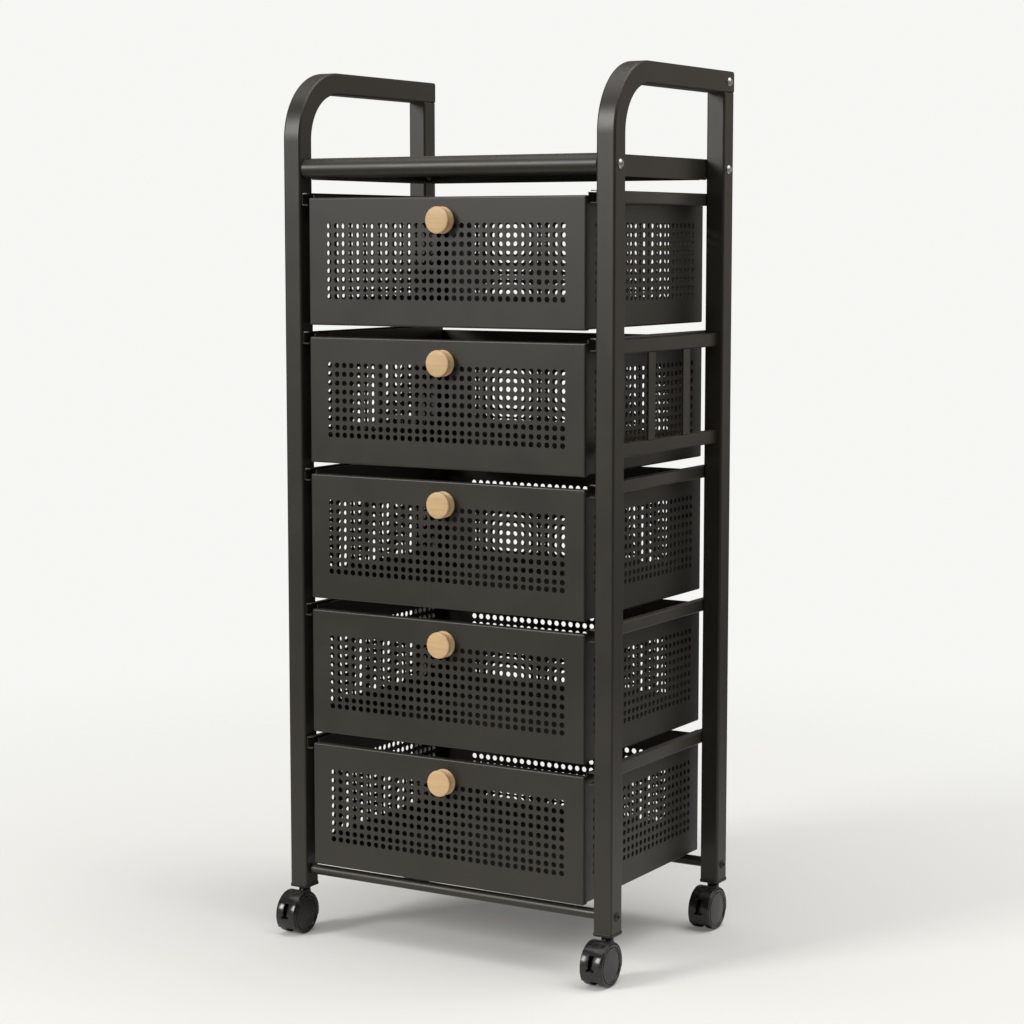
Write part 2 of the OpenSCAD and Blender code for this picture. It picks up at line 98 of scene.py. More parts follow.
@dataclass
class Shell:
    """Corner points and faces of a piece while it is being made.

    Each entry of faces is an array with one face in a row, all with the same number of corners.
    """

    points: Array
    faces: list[Array]

    def joined(self, *others: "Shell") -> "Shell":
        """Puts shells side by side in one shell.

        Args:
            others: the shells to add; their face indices are shifted past the points before them.

        Returns:
            One shell that holds them all, not welded.
        """
        points, faces, count = [self.points], list(self.faces), len(self.points)
        for other in others:
            points.append(other.points)
            faces += [block + count for block in other.faces]
            count += len(other.points)
        return Shell(np.vstack(points), faces)

    def mirrored(self) -> "Shell":
        """Returns the shell mirrored in X, with its faces turned back outwards."""
        return Shell(self.points * np.array([-1.0, 1.0, 1.0]), [f[:, ::-1] for f in self.faces])

    def on(self, side: Side) -> "Shell":
        """Returns a shell drawn for the right, on the side asked for."""
        return self if side is Side.RIGHT else self.mirrored()

    def welded(self) -> "Shell":
        """Joins points that coincide, and drops the faces and corners that this closes up.

        Points are the same where their coordinates round to the same micrometre.

        Returns:
            The welded shell, whose quads with two equal neighbours have become triangles.
        """
        keys = np.round(self.points / MICROMETRE).astype(np.int64)
        _, first, back = np.unique(keys, axis=0, return_index=True, return_inverse=True)
        back = back.reshape(-1)
        kept: list[Array] = []
        for block in self.faces:
            block = back[block]
            same = block == np.roll(block, -1, axis=1)
            kept.append(block[same.sum(1) == 0])
            if block.shape[1] == 4:
                for i in range(4):
                    only = same[:, i] & (same.sum(1) == 1)
                    kept.append(np.delete(block[only], i, axis=1))
        return Shell(self.points[first], [f for f in kept if len(f)])

    def volume(self) -> float:
        """Signed volume: the sum over fan triangles of a dot (b cross c), over six.

        Returns:
            The volume, negative where the faces point inwards.
        """
        total = 0.0
        for block in self.faces:
            a = self.points[block[:, 0]]
            for i in range(1, block.shape[1] - 1):
                b, c = self.points[block[:, i]], self.points[block[:, i + 1]]
                total += float(np.einsum("ij,ij->", a, np.cross(b, c)))
        return total / 6

    def outward(self) -> "Shell":
        """Returns a closed shell with its faces pointing outwards."""
        if self.volume() >= 0:
            return self
        return Shell(self.points, [f[:, ::-1] for f in self.faces])


def band(rows: int, cols: int, closed: bool = True, start: int = 0) -> Array:
    """Quads between the rows of a grid of points.

    Args:
        rows: number of rows, each with cols points.
        cols: number of points in a row.
        closed: whether the last point of a row joins the first.
        start: index of the grid's first point.

    Returns:
        One quad in each row of the array.
    """
    width = cols if closed else cols - 1
    i, j = np.meshgrid(np.arange(rows - 1), np.arange(width), indexing="ij")
    k = (j + 1) % cols
    quads = np.stack([i * cols + j, i * cols + k, (i + 1) * cols + k, (i + 1) * cols + j], -1)
    return quads.reshape(-1, 4) + start


def sweep(profile: Array, path: Array, across: Array, along: Array) -> Shell:
    """Carries a closed profile along a path: point = path + across * u + along * v.

    Flat faces close the two ends.

    Args:
        profile: the outline's points (u, v), in order.
        path: the places that the profile passes.
        across: the direction of u at each place.
        along: the direction of v at each place.

    Returns:
        A closed shell with its faces outwards.
    """
    across, along = np.broadcast_to(across, path.shape), np.broadcast_to(along, path.shape)
    u, v = profile[None, :, :1], profile[None, :, 1:]
    return stacked(path[:, None] + u * across[:, None] + v * along[:, None])


def stacked(points: Array) -> Shell:
    """Joins equal outlines into a closed shell, with a flat face over the first and the last.

    Args:
        points: the outlines, as an array of rows, columns and (x, y, z).

    Returns:
        The shell with its faces outwards.
    """
    rows, cols = points.shape[:2]
    first = np.arange(cols)
    faces = [band(rows, cols), first[::-1][None], (first + (rows - 1) * cols)[None]]
    return Shell(points.reshape(-1, 3), faces).outward()


def draped(x: Array, y: Array, z: Array) -> Shell:
    """Returns an open sheet on a grid of points, from three arrays that broadcast to the grid."""
    grid = np.stack(np.broadcast_arrays(x, y, z), -1)
    return Shell(grid.reshape(-1, 3), [band(*grid.shape[:2], closed=False)])


def turned(profile: Array, centre: Array, axis: Array, segments: int = 48) -> Shell:
    """Turns a profile about an axis: point = centre + axis * h + r * (cos a, sin a) across it.

    Args:
        profile: points (r, h); the ends with r = 0 close to a pole.
        centre: a point on the axis, where h = 0.
        axis: unit direction of h.
        segments: number of steps in a full turn.

    Returns:
        A closed shell with its faces outwards.
    """
    axis = np.asarray(axis, float)
    side = np.cross(axis, Z_AXIS if abs(axis[2]) < 0.9 else X_AXIS)
    side /= np.linalg.norm(side)
    other = np.cross(axis, side)
    angle = np.linspace(0, 2 * math.pi, segments, endpoint=False)
    ring = np.cos(angle)[:, None] * side + np.sin(angle)[:, None] * other
    points = centre + profile[:, 1, None, None] * axis + profile[:, 0, None, None] * ring[None]
    return Shell(points.reshape(-1, 3), [band(len(profile), segments)]).welded().outward()


def arc(centre: tuple[float, float], radius: float, start: float, end: float, steps: int) -> Array:
    """Points centre + radius * (cos a, sin a) for a from start to end, in degrees."""
    angle = np.radians(np.linspace(start, end, steps + 1))
    return np.column_stack([centre[0] + radius * np.cos(angle), centre[1] + radius * np.sin(angle)])


def soft_outline(width: float, height: float, radius: float, steps: int = 6) -> Array:
    """A rectangle's outline with round corners.

    Each quarter circle has a helper point a little before and after it, so that the flats between
    the corners are shaded flat.

    Args:
        width: size in u.
        height: size in v.
        radius: corner radius.
        steps: segments in each quarter circle.

    Returns:
        The outline's points, anticlockwise.
    """
    guard = min(0.15 * MM, radius / 2)
    parts = []
    for quarter, (su, sv) in enumerate([(1, 1), (-1, 1), (-1, -1), (1, -1)]):
        centre = (su * (width / 2 - radius), sv * (height / 2 - radius))
        start = QUARTER * quarter
        bow = arc(centre, radius, start, start + QUARTER, steps)
        sine, cosine = math.sin(math.radians(start)), math.cos(math.radians(start))
        before, after = np.array([sine, -cosine]), np.array([-cosine, -sine])
        parts += [bow[:1] + before * guard, bow, bow[-1:] + after * guard]
    return np.vstack(parts)


def rounded_line(points: Array, radius: float, steps: int = 4) -> Array:
    """An open line with its inner corners rounded by arcs that touch both legs.

    Args:
        points: the line's corners.
        radius: radius of each bend.
        steps: segments in each bend.

    Returns:
        The line's points, with a helper point just outside each bend.
    """
    guard = 0.1 * MM
    out = [points[0]]
    for before, corner, after in zip(points[:-2], points[1:-1], points[2:]):
        a = (before - corner) / np.linalg.norm(before - corner)
        b = (after - corner) / np.linalg.norm(after - corner)
        half = math.acos(float(np.clip(a @ b, -1, 1))) / 2
        reach = radius / math.tan(half)
        middle = corner + (a + b) / np.linalg.norm(a + b) * radius / math.sin(half)
        start, end = corner + a * reach - middle, corner + b * reach - middle
        sweep_angle = math.pi - 2 * half
        t = np.linspace(0, 1, steps + 1)[:, None]
        bow = (np.sin((1 - t) * sweep_angle) * start + np.sin(t * sweep_angle) * end) / math.sin(sweep_angle)
        out += [corner + a * (reach + guard), *(middle + bow), corner + b * (reach + guard)]
    return np.vstack(out + [points[-1]])


def thick_line(line: Array, thickness: float) -> Array:
    """Closes an open line into the outline of a bent sheet.

    Each point's twin stands off by the thickness along the mean of its two legs' left normals.

    Args:
        line: the sheet's outer face in cross-section.
        thickness: sheet thickness, laid to the left of the line.

    Returns:
        The closed outline's points.
    """
    leg = np.diff(line, axis=0)
    leg /= np.linalg.norm(leg, axis=1, keepdims=True)
    normal = np.column_stack([-leg[:, 1], leg[:, 0]])
    first, last = np.vstack([normal[:1], normal]), np.vstack([normal, normal[-1:]])
    mean = first + last
    mean /= np.maximum((mean * first).sum(1, keepdims=True), 1e-9)
    return np.vstack([line, (line + mean * thickness)[::-1]])


def block(low: Array, high: Array) -> Shell:
    """A box: a rectangle carried up along Z.

    Args:
        low: its lowest corner.
        high: its highest corner.

    Returns:
        A closed shell.
    """
    size = np.asarray(high, float) - low
    outline = np.array([[0, 0], [size[0], 0], [size[0], size[1]], [0, size[1]]])
    path = np.array([low, low + np.array([0, 0, size[2]])], float)
    return sweep(outline, path, X_AXIS, Y_AXIS)


@dataclass
class PunchedSheet:
    """A flat sheet with a grid of round holes, in its own (u, v) plane.

    Each hole sits in a rectangular cell. The ring between the circle and the cell's border has as
    many quads as the circle has steps, and neighbouring cells share their border points, so the
    whole sheet welds into one surface. The margins are filled with a plain grid on the same lines.
    """

    low: tuple[float, float]
    high: tuple[float, float]
    columns: Array
    rows: Array
    hole_radius: float
    notch: tuple[float, float] | None = None
    extra_u: tuple[float, ...] = ()
    extra_v: tuple[float, ...] = ()
    steps: int = 20

    def borders(self, centres: Array) -> Array:
        """Cell borders: half-way between centres, and half a step outside the first and last.

        Args:
            centres: places of the hole centres along one direction.

        Returns:
            The borders, one more than the centres.
        """
        middle = (centres[1:] + centres[:-1]) / 2
        first = centres[0] - (centres[1] - centres[0]) / 2
        last = centres[-1] + (centres[-1] - centres[-2]) / 2
        return np.concatenate([[first], middle, [last]])

    def lines(self, borders: Array, low: float, high: float, extra: tuple[float, ...]) -> Array:
        """All grid lines along one direction, from edge to edge.

        Args:
            borders: the cell borders, each cell being split into a quarter of the circle's steps.
            low: the sheet's first edge.
            high: its last edge.
            extra: further lines.

        Returns:
            The lines in rising order.
        """
        part = self.steps // 4
        share = np.arange(part) / part
        inner = (borders[:-1, None] + np.diff(borders)[:, None] * share).ravel()
        guard = 0.2 * MM
        edges = np.array([low, low + guard, high - guard, high, *extra])
        return np.unique(np.round(np.concatenate([edges, inner, borders[-1:]]), 8))

    def surface(self) -> tuple[Array, list[Array], Array, Array]:
        """Works out the sheet.

        Returns:
            The points (u, v), the faces, and the grid lines along u and along v.
        """
        bu, bv = self.borders(self.columns), self.borders(self.rows)
        u = self.lines(bu, self.low[0], self.high[0], self.extra_u)
        v = self.lines(bv, self.low[1], self.high[1], self.extra_v)
        grid = np.stack(np.meshgrid(u, v, indexing="ij"), -1).reshape(-1, 2)
        quads = band(len(u), len(v), closed=False)[:, ::-1]
        middle = grid[quads].mean(1)
        left_out = ((middle[:, 0] > bu[0]) & (middle[:, 0] < bu[-1])
                    & (middle[:, 1] > bv[0]) & (middle[:, 1] < bv[-1]))
        if self.notch is not None:
            left_out |= (middle[:, 0] < self.notch[0]) & (middle[:, 1] > self.notch[1])
        plain = quads[~left_out]

        share = np.arange(self.steps // 4) / (self.steps // 4)
        one, rest = np.ones_like(share), 1 - 2 * share
        square = np.vstack([np.column_stack(edge) for edge in
                            ((rest, one), (-one, rest), (-rest, -one), (one, -rest))])
        angle = math.pi / 4 + np.arange(self.steps) * 2 * math.pi / self.steps
        circle = np.column_stack([np.cos(angle), np.sin(angle)]) * self.hole_radius
        cu, cv = (m.ravel() for m in np.meshgrid(self.columns, self.rows, indexing="ij"))
        cell_u = np.stack([np.repeat(b, len(self.rows)) for b in (bu[:-1], bu[1:])])
        cell_v = np.stack([np.tile(b, len(self.columns)) for b in (bv[:-1], bv[1:])])
        border_u = cell_u.mean(0)[:, None] + square[:, 0] * np.diff(cell_u, axis=0).T / 2
        border_v = cell_v.mean(0)[:, None] + square[:, 1] * np.diff(cell_v, axis=0).T / 2
        border = np.stack([border_u, border_v], -1)
        holes = np.stack([cu, cv], -1)[:, None] + circle
        cells = len(cu)
        base = len(grid) + np.arange(cells)[:, None] * self.steps
        i = np.arange(self.steps)
        nxt = (i + 1) % self.steps
        inner = cells * self.steps
        rings = np.stack([base + i, base + nxt, base + inner + nxt, base + inner + i], -1).reshape(-1, 4)
        points = np.vstack([grid, border.reshape(-1, 2), holes.reshape(-1, 2)])
        return points, [plain, rings], u, v


def placed(points: Array, origin: Array, u_axis: Array, v_axis: Array) -> Array:
    """Puts flat points into space: origin + u * u_axis + v * v_axis."""
    return origin + points[:, :1] * u_axis + points[:, 1:] * v_axis


# ---------------------------------------------------------------- pieces


def make_object(name: str, shell: Shell, thickness: float = 0.0, bevel: float = 0.0) -> bpy.types.Object:
    """Turns a shell into a Blender object with its place in its mesh.

    Args:
        name: the piece's name.
        shell: its surface.
        thickness: wall laid behind an open surface by Solidify.
        bevel: width of the small chamfers that Bevel cuts along sharp edges.

    Returns:
        The object, with its modifiers applied and its sharp edges marked.
    """
    shell = shell.welded()
    mesh = bpy.data.meshes.new(name)
    faces = [face for rows in shell.faces for face in rows.tolist()]
    mesh.from_pydata(shell.points.tolist(), [], faces)
    obj = bpy.data.objects.new(name, mesh)
    bpy.context.scene.collection.objects.link(obj)
    if thickness:
        wall = obj.modifiers.new("wall", "SOLIDIFY")
        wall.thickness, wall.offset, wall.use_even_offset = thickness, -1.0, True
    if bevel:
        edge = obj.modifiers.new("edge", "BEVEL")
        edge.width, edge.segments = bevel, 2
        edge.limit_method, edge.angle_limit = "ANGLE", math.radians(CHAMFERED_EDGE)
    if obj.modifiers:
        graph = bpy.context.evaluated_depsgraph_get()
        final = bpy.data.meshes.new_from_object(obj.evaluated_get(graph))
        obj.modifiers.clear()
        obj.data = final
        final.name = name
    obj.data.shade_smooth()
    obj.data.set_sharp_from_angle(angle=math.radians(SHARP_EDGE))
    return obj


def cad_box(node: str) -> tuple[Array, Array]:
    """Returns a node's lowest and highest corners as arrays."""
    low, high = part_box(node)
    return np.array(low), np.array(high)


def dress(obj: bpy.types.Object, material: bpy.types.Material, body: str, slot: str, *nodes: str) -> None:
    """Gives a piece its material and body, and hides the CAD nodes that it stands for.

    Args:
        obj: the piece.
        material: its material.
        body: the body that it rides on.
        slot: the record's material slot; not used.
        nodes: the CAD nodes that it replaces.
    """
    obj.data.materials.clear()
    obj.data.materials.append(material)
    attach(obj, body)
    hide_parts(*nodes)
    LOG.info("%s rides on %s and stands for %s", obj.name, body, ", ".join(nodes))


# ---------------------------------------------------------------- finishes


def emptied(owner: bpy.types.Material | bpy.types.World) -> Tree:
    """Returns the node tree of a material or world, with nothing in it."""
    owner.use_nodes = True
    owner.node_tree.nodes.clear()
    return owner.node_tree


def group_socket(tree: Tree, name: str, kind: str, output: bool = False, value: float | None = None) -> None:
    """Adds one named input or output to a node group.

    Args:
        tree: the group.
        name: the socket's name.
        kind: NodeSocketFloat, NodeSocketVector or NodeSocketColor.
        output: whether it is an output.
        value: the default of a float input.
    """
    made = tree.interface.new_socket(name, in_out="OUTPUT" if output else "INPUT", socket_type=kind)
    if value is not None:
        made.default_value = value


def add_node(tree: Tree, kind: str, **settings: object) -> bpy.types.Node:
    """Adds a node and sets its properties; a key that starts with in_ sets the input of that number.

    Args:
        tree: where the node goes.
        kind: the node's type name.
        settings: property values, and in_0, in_1 and so on for inputs, which may be sockets to link.

    Returns:
        The node.
    """
    made = tree.nodes.new(kind)
    for key, value in settings.items():
        if key.startswith("in_"):
            target = made.inputs[int(key[3:])]
            if isinstance(value, bpy.types.NodeSocket):
                tree.links.new(value, target)
            else:
                target.default_value = value
        else:
            setattr(made, key, value)
    return made


def noise(tree: Tree, vector: Socket, scale: float | Socket,
          detail: float = 3.0, rough: float = 0.5) -> Socket:
    """Adds a noise texture.

    Args:
        tree: where it goes.
        vector: the coordinates it reads.
        scale: its scale, a number or a socket.
        detail: number of finer layers.
        rough: strength of the finer layers.

    Returns:
        Its value output.
    """
    made = add_node(tree, "ShaderNodeTexNoise", in_0=vector)
    made.inputs["Detail"].default_value = detail
    made.inputs["Roughness"].default_value = rough
    if isinstance(scale, bpy.types.NodeSocket):
        tree.links.new(scale, made.inputs["Scale"])
    else:
        made.inputs["Scale"].default_value = scale
    return made.outputs["Fac"]


def ramp(tree: Tree, value: Socket, low: float, high: float,
         out_low: float = 0.0, out_high: float = 1.0) -> Socket:
    """Maps a value from one range smoothly onto another.

    Args:
        tree: where the node goes.
        value: the value.
        low: start of its range.
        high: end of its range.
        out_low: the result at the start.
        out_high: the result at the end.

    Returns:
        The mapped value.
    """
    made = add_node(tree, "ShaderNodeMapRange", interpolation_type="SMOOTHSTEP", in_0=value)
    for name, number in zip(("From Min", "From Max", "To Min", "To Max"), (low, high, out_low, out_high)):
        made.inputs[name].default_value = number
    return made.outputs["Result"]


def times(tree: Tree, a: Socket | float, b: Socket | float) -> Socket:
    """Adds a node that multiplies two values, and returns its result."""
    return add_node(tree, "ShaderNodeMath", operation="MULTIPLY", in_0=a, in_1=b).outputs[0]


def plus(tree: Tree, a: Socket | float, b: Socket | float) -> Socket:
    """Adds a node that adds two values, and returns its result."""
    return add_node(tree, "ShaderNodeMath", operation="ADD", in_0=a, in_1=b).outputs[0]


def mapped(tree: Tree, vector: Socket, scale: tuple[float, float, float]) -> Socket:
    """Adds a node that stretches coordinates, and returns the result."""
    made = add_node(tree, "ShaderNodeMapping", in_0=vector)
    made.inputs["Scale"].default_value = scale
    return made.outputs[0]


def bumped(tree: Tree, shader: bpy.types.Node, height: Socket, depth: float, strength: float = 1.0) -> None:
    """Feeds a height into a shader's normal.

    Args:
        tree: the material's nodes.
        shader: the Principled shader.
        height: the height, from 0 to about 1.
        depth: the distance that a height of 1 stands for.
        strength: share of the effect that is used.
    """
    bump = add_node(tree, "ShaderNodeBump")
    bump.inputs["Distance"].default_value = depth
    bump.inputs["Strength"].default_value = strength
    tree.links.new(height, bump.inputs["Height"])
    tree.links.new(bump.outputs[0], shader.inputs["Normal"])


def mixed(tree: Tree, share: Socket | float, a: Socket | tuple, b: Socket | tuple) -> Socket:
    """Blends two colours.

    Args:
        tree: where the node goes.
        share: share of the second colour.
        a: the first colour, fixed or a socket.
        b: the second colour, fixed or a socket.

    Returns:
        The blended colour.
    """
    made = add_node(tree, "ShaderNodeMix", data_type="RGBA")
    for name, value in (("Factor", share), ("A", a), ("B", b)):
        target = next(s for s in made.inputs if s.name == name and s.enabled)
        if isinstance(value, bpy.types.NodeSocket):
            tree.links.new(value, target)
        else:
            target.default_value = value if isinstance(value, float) else (*value, 1.0)
    return next(s for s in made.outputs if s.enabled)


def grain_group() -> Tree:
    """Builds the shared group of fine surface grain.

    Height is three noises added up: orange peel at Scale, a coarser swell at a fifth of it, and a
    dust-fine tooth at three times it. Mottle is a slow cloud from 0 to 1 for colour and roughness.

    Returns:
        The group.
    """
    tree = bpy.data.node_groups.new("surface_grain", "ShaderNodeTree")
    group_socket(tree, "Vector", "NodeSocketVector")
    group_socket(tree, "Scale", "NodeSocketFloat", value=1200.0)
    group_socket(tree, "Cloud Scale", "NodeSocketFloat", value=14.0)
    group_socket(tree, "Height", "NodeSocketFloat", output=True)
    group_socket(tree, "Mottle", "NodeSocketFloat", output=True)
    given = add_node(tree, "NodeGroupInput")
    vector, scale, cloud = given.outputs[0], given.outputs[1], given.outputs[2]
    peel = noise(tree, vector, scale, 2.0, 0.45)
    swell = noise(tree, vector, times(tree, scale, 0.2), 2.0)
    tooth = noise(tree, vector, times(tree, scale, 3.0), 1.0)
    height = plus(tree, plus(tree, peel, times(tree, swell, 0.6)), times(tree, tooth, 0.25))
    mottle = ramp(tree, noise(tree, vector, cloud, 4.0, 0.55), 0.32, 0.68)
    result = add_node(tree, "NodeGroupOutput")
    tree.links.new(height, result.inputs["Height"])
    tree.links.new(mottle, result.inputs["Mottle"])
    return tree


def wear_group() -> Tree:
    """Builds the shared group of handling marks and dust.

    Rub is a mask of soft smears where hands and tools pass. Dust is the share of the surface's
    upward lean, broken up by noise, so that it settles on ledges only.

    Returns:
        The group.
    """
    tree = bpy.data.node_groups.new("handling_wear", "ShaderNodeTree")
    group_socket(tree, "Vector", "NodeSocketVector")
    group_socket(tree, "Rub Amount", "NodeSocketFloat", value=0.5)
    group_socket(tree, "Dust Amount", "NodeSocketFloat", value=0.5)
    group_socket(tree, "Rub", "NodeSocketFloat", output=True)
    group_socket(tree, "Dust", "NodeSocketFloat", output=True)
    given = add_node(tree, "NodeGroupInput")
    stretched = mapped(tree, given.outputs[0], (9.0, 9.0, 38.0))
    smear = ramp(tree, noise(tree, stretched, 1.0, 5.0, 0.62), 0.5, 0.78)
    rub = times(tree, smear, given.outputs[1])
    normal = add_node(tree, "ShaderNodeNewGeometry").outputs["Normal"]
    lean = add_node(tree, "ShaderNodeSeparateXYZ", in_0=normal)
    ledge = ramp(tree, lean.outputs["Z"], 0.55, 0.98)
    specks = ramp(tree, noise(tree, given.outputs[0], 260.0, 3.0, 0.6), 0.35, 0.75)
    dust = times(tree, times(tree, ledge, specks), given.outputs[2])
    result = add_node(tree, "NodeGroupOutput")
    tree.links.new(rub, result.inputs["Rub"])
    tree.links.new(dust, result.inputs["Dust"])
    return tree


def fibre_group() -> Tree:
    """Builds the group of turned beech grain, with its fibres along X.

    Fibre is a noise that changes ten to twenty times more slowly along X. Ring is a slow wavy band
    across the grain, and Fleck marks the short dark rays that beech shows.

    Returns:
        The group.
    """
    tree = bpy.data.node_groups.new("beech_fibre", "ShaderNodeTree")
    group_socket(tree, "Vector", "NodeSocketVector")
    for name in ("Fibre", "Ring", "Fleck"):
        group_socket(tree, name, "NodeSocketFloat", output=True)
    given = add_node(tree, "NodeGroupInput")
    fine = mapped(tree, given.outputs[0], (90.0, 900.0, 1800.0))
    fibre = noise(tree, fine, 1.0, 3.0, 0.6)
    slow = mapped(tree, given.outputs[0], (22.0, 160.0, 260.0))
    ring = ramp(tree, noise(tree, slow, 1.0, 2.0, 0.5), 0.3, 0.7)
    short = mapped(tree, given.outputs[0], (420.0, 900.0, 2600.0))
    fleck = ramp(tree, noise(tree, short, 1.0, 1.0), 0.66, 0.74)
    result = add_node(tree, "NodeGroupOutput")
    for name, value in (("Fibre", fibre), ("Ring", ring), ("Fleck", fleck)):
        tree.links.new(value, result.inputs[name])
    return tree


@dataclass
class Workshop:
    """The shader groups, built once, and the materials made with them."""

    groups: dict[str, Tree] = field(default_factory=dict)

    def group(self, tree: Tree, name: str, vector: Socket, **values: float) -> bpy.types.Node:
        """Places a shared group in a material.

        Args:
            tree: the material's nodes.
            name: grain, wear or fibre.
            vector: the coordinates it reads.
            values: its own values, with underscores for the spaces in the input names.

        Returns:
            The group node.
        """
        makers = {"grain": grain_group, "wear": wear_group, "fibre": fibre_group}
        if name not in self.groups:
            self.groups[name] = makers[name]()
        made = add_node(tree, "ShaderNodeGroup", node_tree=self.groups[name], in_0=vector)
        for key, value in values.items():
            made.inputs[key.replace("_", " ")].default_value = value
        return made


@dataclass(frozen=True)
class Finish:
    """Common start of all finishes: a Principled shader that reads Object coordinates."""

    name: str
    colour: tuple[float, float, float]
    roughness: float

    def start(self) -> tuple[bpy.types.Material, Tree, bpy.types.Node, Socket]:
        """Makes an empty material.

        Returns:
            The material, its nodes, its Principled shader and the Object coordinates.
        """
        material = bpy.data.materials.new(self.name)
        tree = emptied(material)
        shader = add_node(tree, "ShaderNodeBsdfPrincipled")
        output = add_node(tree, "ShaderNodeOutputMaterial")
        tree.links.new(shader.outputs[0], output.inputs["Surface"])
        return material, tree, shader, add_node(tree, "ShaderNodeTexCoord").outputs["Object"]

    def tinted(self, gain: float, shift: tuple[float, float, float] = (1.0, 1.0, 1.0)) -> tuple[float, ...]:
        """Returns the finish's colour, made lighter or darker and shifted in hue."""
        return tuple(min(c * gain * s, 1.0) for c, s in zip(self.colour, shift))


@dataclass(frozen=True)
class PowderCoat(Finish):
    """Satin powder coat on steel: fine orange peel, soft smears and a little dust on ledges."""

    peel_scale: float = 1300.0
    peel_depth: float = 0.035 * MM
    dust: float = 0.10
    rub: float = 0.6

    def material(self, shop: Workshop) -> bpy.types.Material:
        """Builds the material from the shared groups.

        Args:
            shop: the workshop that holds the groups.

        Returns:
            The material.
        """
        material, tree, shader, place = self.start()
        grain = shop.group(tree, "grain", place, Scale=self.peel_scale, Cloud_Scale=11.0)
        wear = shop.group(tree, "wear", place, Rub_Amount=self.rub, Dust_Amount=self.dust)
        base = mixed(tree, grain.outputs["Mottle"], self.tinted(0.94), self.tinted(1.06, (1.0, 0.99, 0.97)))
        dusty = mixed(tree, wear.outputs["Dust"], base, (0.42, 0.40, 0.37))
        tree.links.new(dusty, shader.inputs["Base Color"])
        clouded = ramp(tree, grain.outputs["Mottle"], 0.0, 1.0, self.roughness - 0.03, self.roughness + 0.03)
        rubbed = plus(tree, clouded, times(tree, wear.outputs["Rub"], -0.07))
        rough = plus(tree, rubbed, times(tree, wear.outputs["Dust"], 0.5))
        tree.links.new(rough, shader.inputs["Roughness"])
        bumped(tree, shader, grain.outputs["Height"], self.peel_depth, 0.6)
        return material


@dataclass(frozen=True)
class Plastic(Finish):
    """Moulded black nylon or polypropylene, matt or glossy."""

    tooth_depth: float = 0.02 * MM
    coat: float = 0.0

    def material(self, shop: Workshop) -> bpy.types.Material:
        """Builds the material from the shared groups.

        Args:
            shop: the workshop that holds the groups.

        Returns:
            The material.
        """
        material, tree, shader, place = self.start()
        grain = shop.group(tree, "grain", place, Scale=900.0, Cloud_Scale=60.0)
        wear = shop.group(tree, "wear", place, Rub_Amount=0.5, Dust_Amount=0.12)
        base = mixed(tree, grain.outputs["Mottle"], self.tinted(0.85), self.tinted(1.2))
        dusty = mixed(tree, wear.outputs["Dust"], base, (0.35, 0.33, 0.30))
        tree.links.new(dusty, shader.inputs["Base Color"])
        rough = ramp(tree, grain.outputs["Mottle"], 0.0, 1.0, self.roughness * 0.85, self.roughness * 1.2)
        tree.links.new(plus(tree, rough, times(tree, wear.outputs["Rub"], 0.12)), shader.inputs["Roughness"])
        bumped(tree, shader, grain.outputs["Height"], self.tooth_depth, 0.4)
        shader.inputs["Coat Weight"].default_value = self.coat
        shader.inputs["Coat Roughness"].default_value = 0.12
        return material


@dataclass(frozen=True)
class Plating(Finish):
    """Plated or blackened steel of the fasteners, with turning marks in its roughness."""

    metal: float = 1.0
    mark_depth: float = 0.01 * MM

    def material(self, shop: Workshop) -> bpy.types.Material:
        """Builds the material from the shared groups.

        Args:
            shop: the workshop that holds the groups.

        Returns:
            The material.
        """
        material, tree, shader, place = self.start()
        grain = shop.group(tree, "grain", place, Scale=1800.0, Cloud_Scale=300.0)
        base = mixed(tree, grain.outputs["Mottle"], self.tinted(0.82), self.tinted(1.08, (1.0, 1.0, 0.97)))
        tree.links.new(base, shader.inputs["Base Color"])
        rough = ramp(tree, grain.outputs["Height"], 0.5, 1.3, self.roughness * 0.75, self.roughness * 1.35)
        tree.links.new(rough, shader.inputs["Roughness"])
        bumped(tree, shader, grain.outputs["Height"], self.mark_depth)
        shader.inputs["Metallic"].default_value = self.metal
        return material


@dataclass(frozen=True)
class Beech(Finish):
    """Pale lacquered beech with fine fibres along X and short dark flecks."""

    fibre_depth: float = 0.03 * MM

    def material(self, shop: Workshop) -> bpy.types.Material:
        """Builds the material from the shared groups.

        Args:
            shop: the workshop that holds the groups.

        Returns:
            The material.
        """
        material, tree, shader, place = self.start()
        fibre = shop.group(tree, "fibre", place)
        grain = shop.group(tree, "grain", place, Scale=1500.0, Cloud_Scale=70.0)
        base = mixed(tree, fibre.outputs["Ring"], self.tinted(0.94, (1.0, 0.985, 0.96)), self.tinted(1.04))
        thread, fleck = self.tinted(0.72, (1.0, 0.93, 0.84)), self.tinted(0.5, (1.0, 0.85, 0.7))
        threads = mixed(tree, times(tree, fibre.outputs["Fibre"], 0.22), base, thread)
        flecked = mixed(tree, times(tree, fibre.outputs["Fleck"], 0.35), threads, fleck)
        tree.links.new(flecked, shader.inputs["Base Color"])
        rough = ramp(tree, fibre.outputs["Fibre"], 0.3, 0.7, self.roughness - 0.05, self.roughness + 0.08)
        rough = plus(tree, rough, times(tree, grain.outputs["Mottle"], 0.04))
        tree.links.new(rough, shader.inputs["Roughness"])
        bumped(tree, shader, fibre.outputs["Fibre"], self.fibre_depth, 0.5)
        shader.inputs["Subsurface Weight"].default_value = 0.06
        shader.inputs["Subsurface Radius"].default_value = (1.2 * MM, 0.6 * MM, 0.3 * MM)
        return material


# ---------------------------------------------------------------- frame


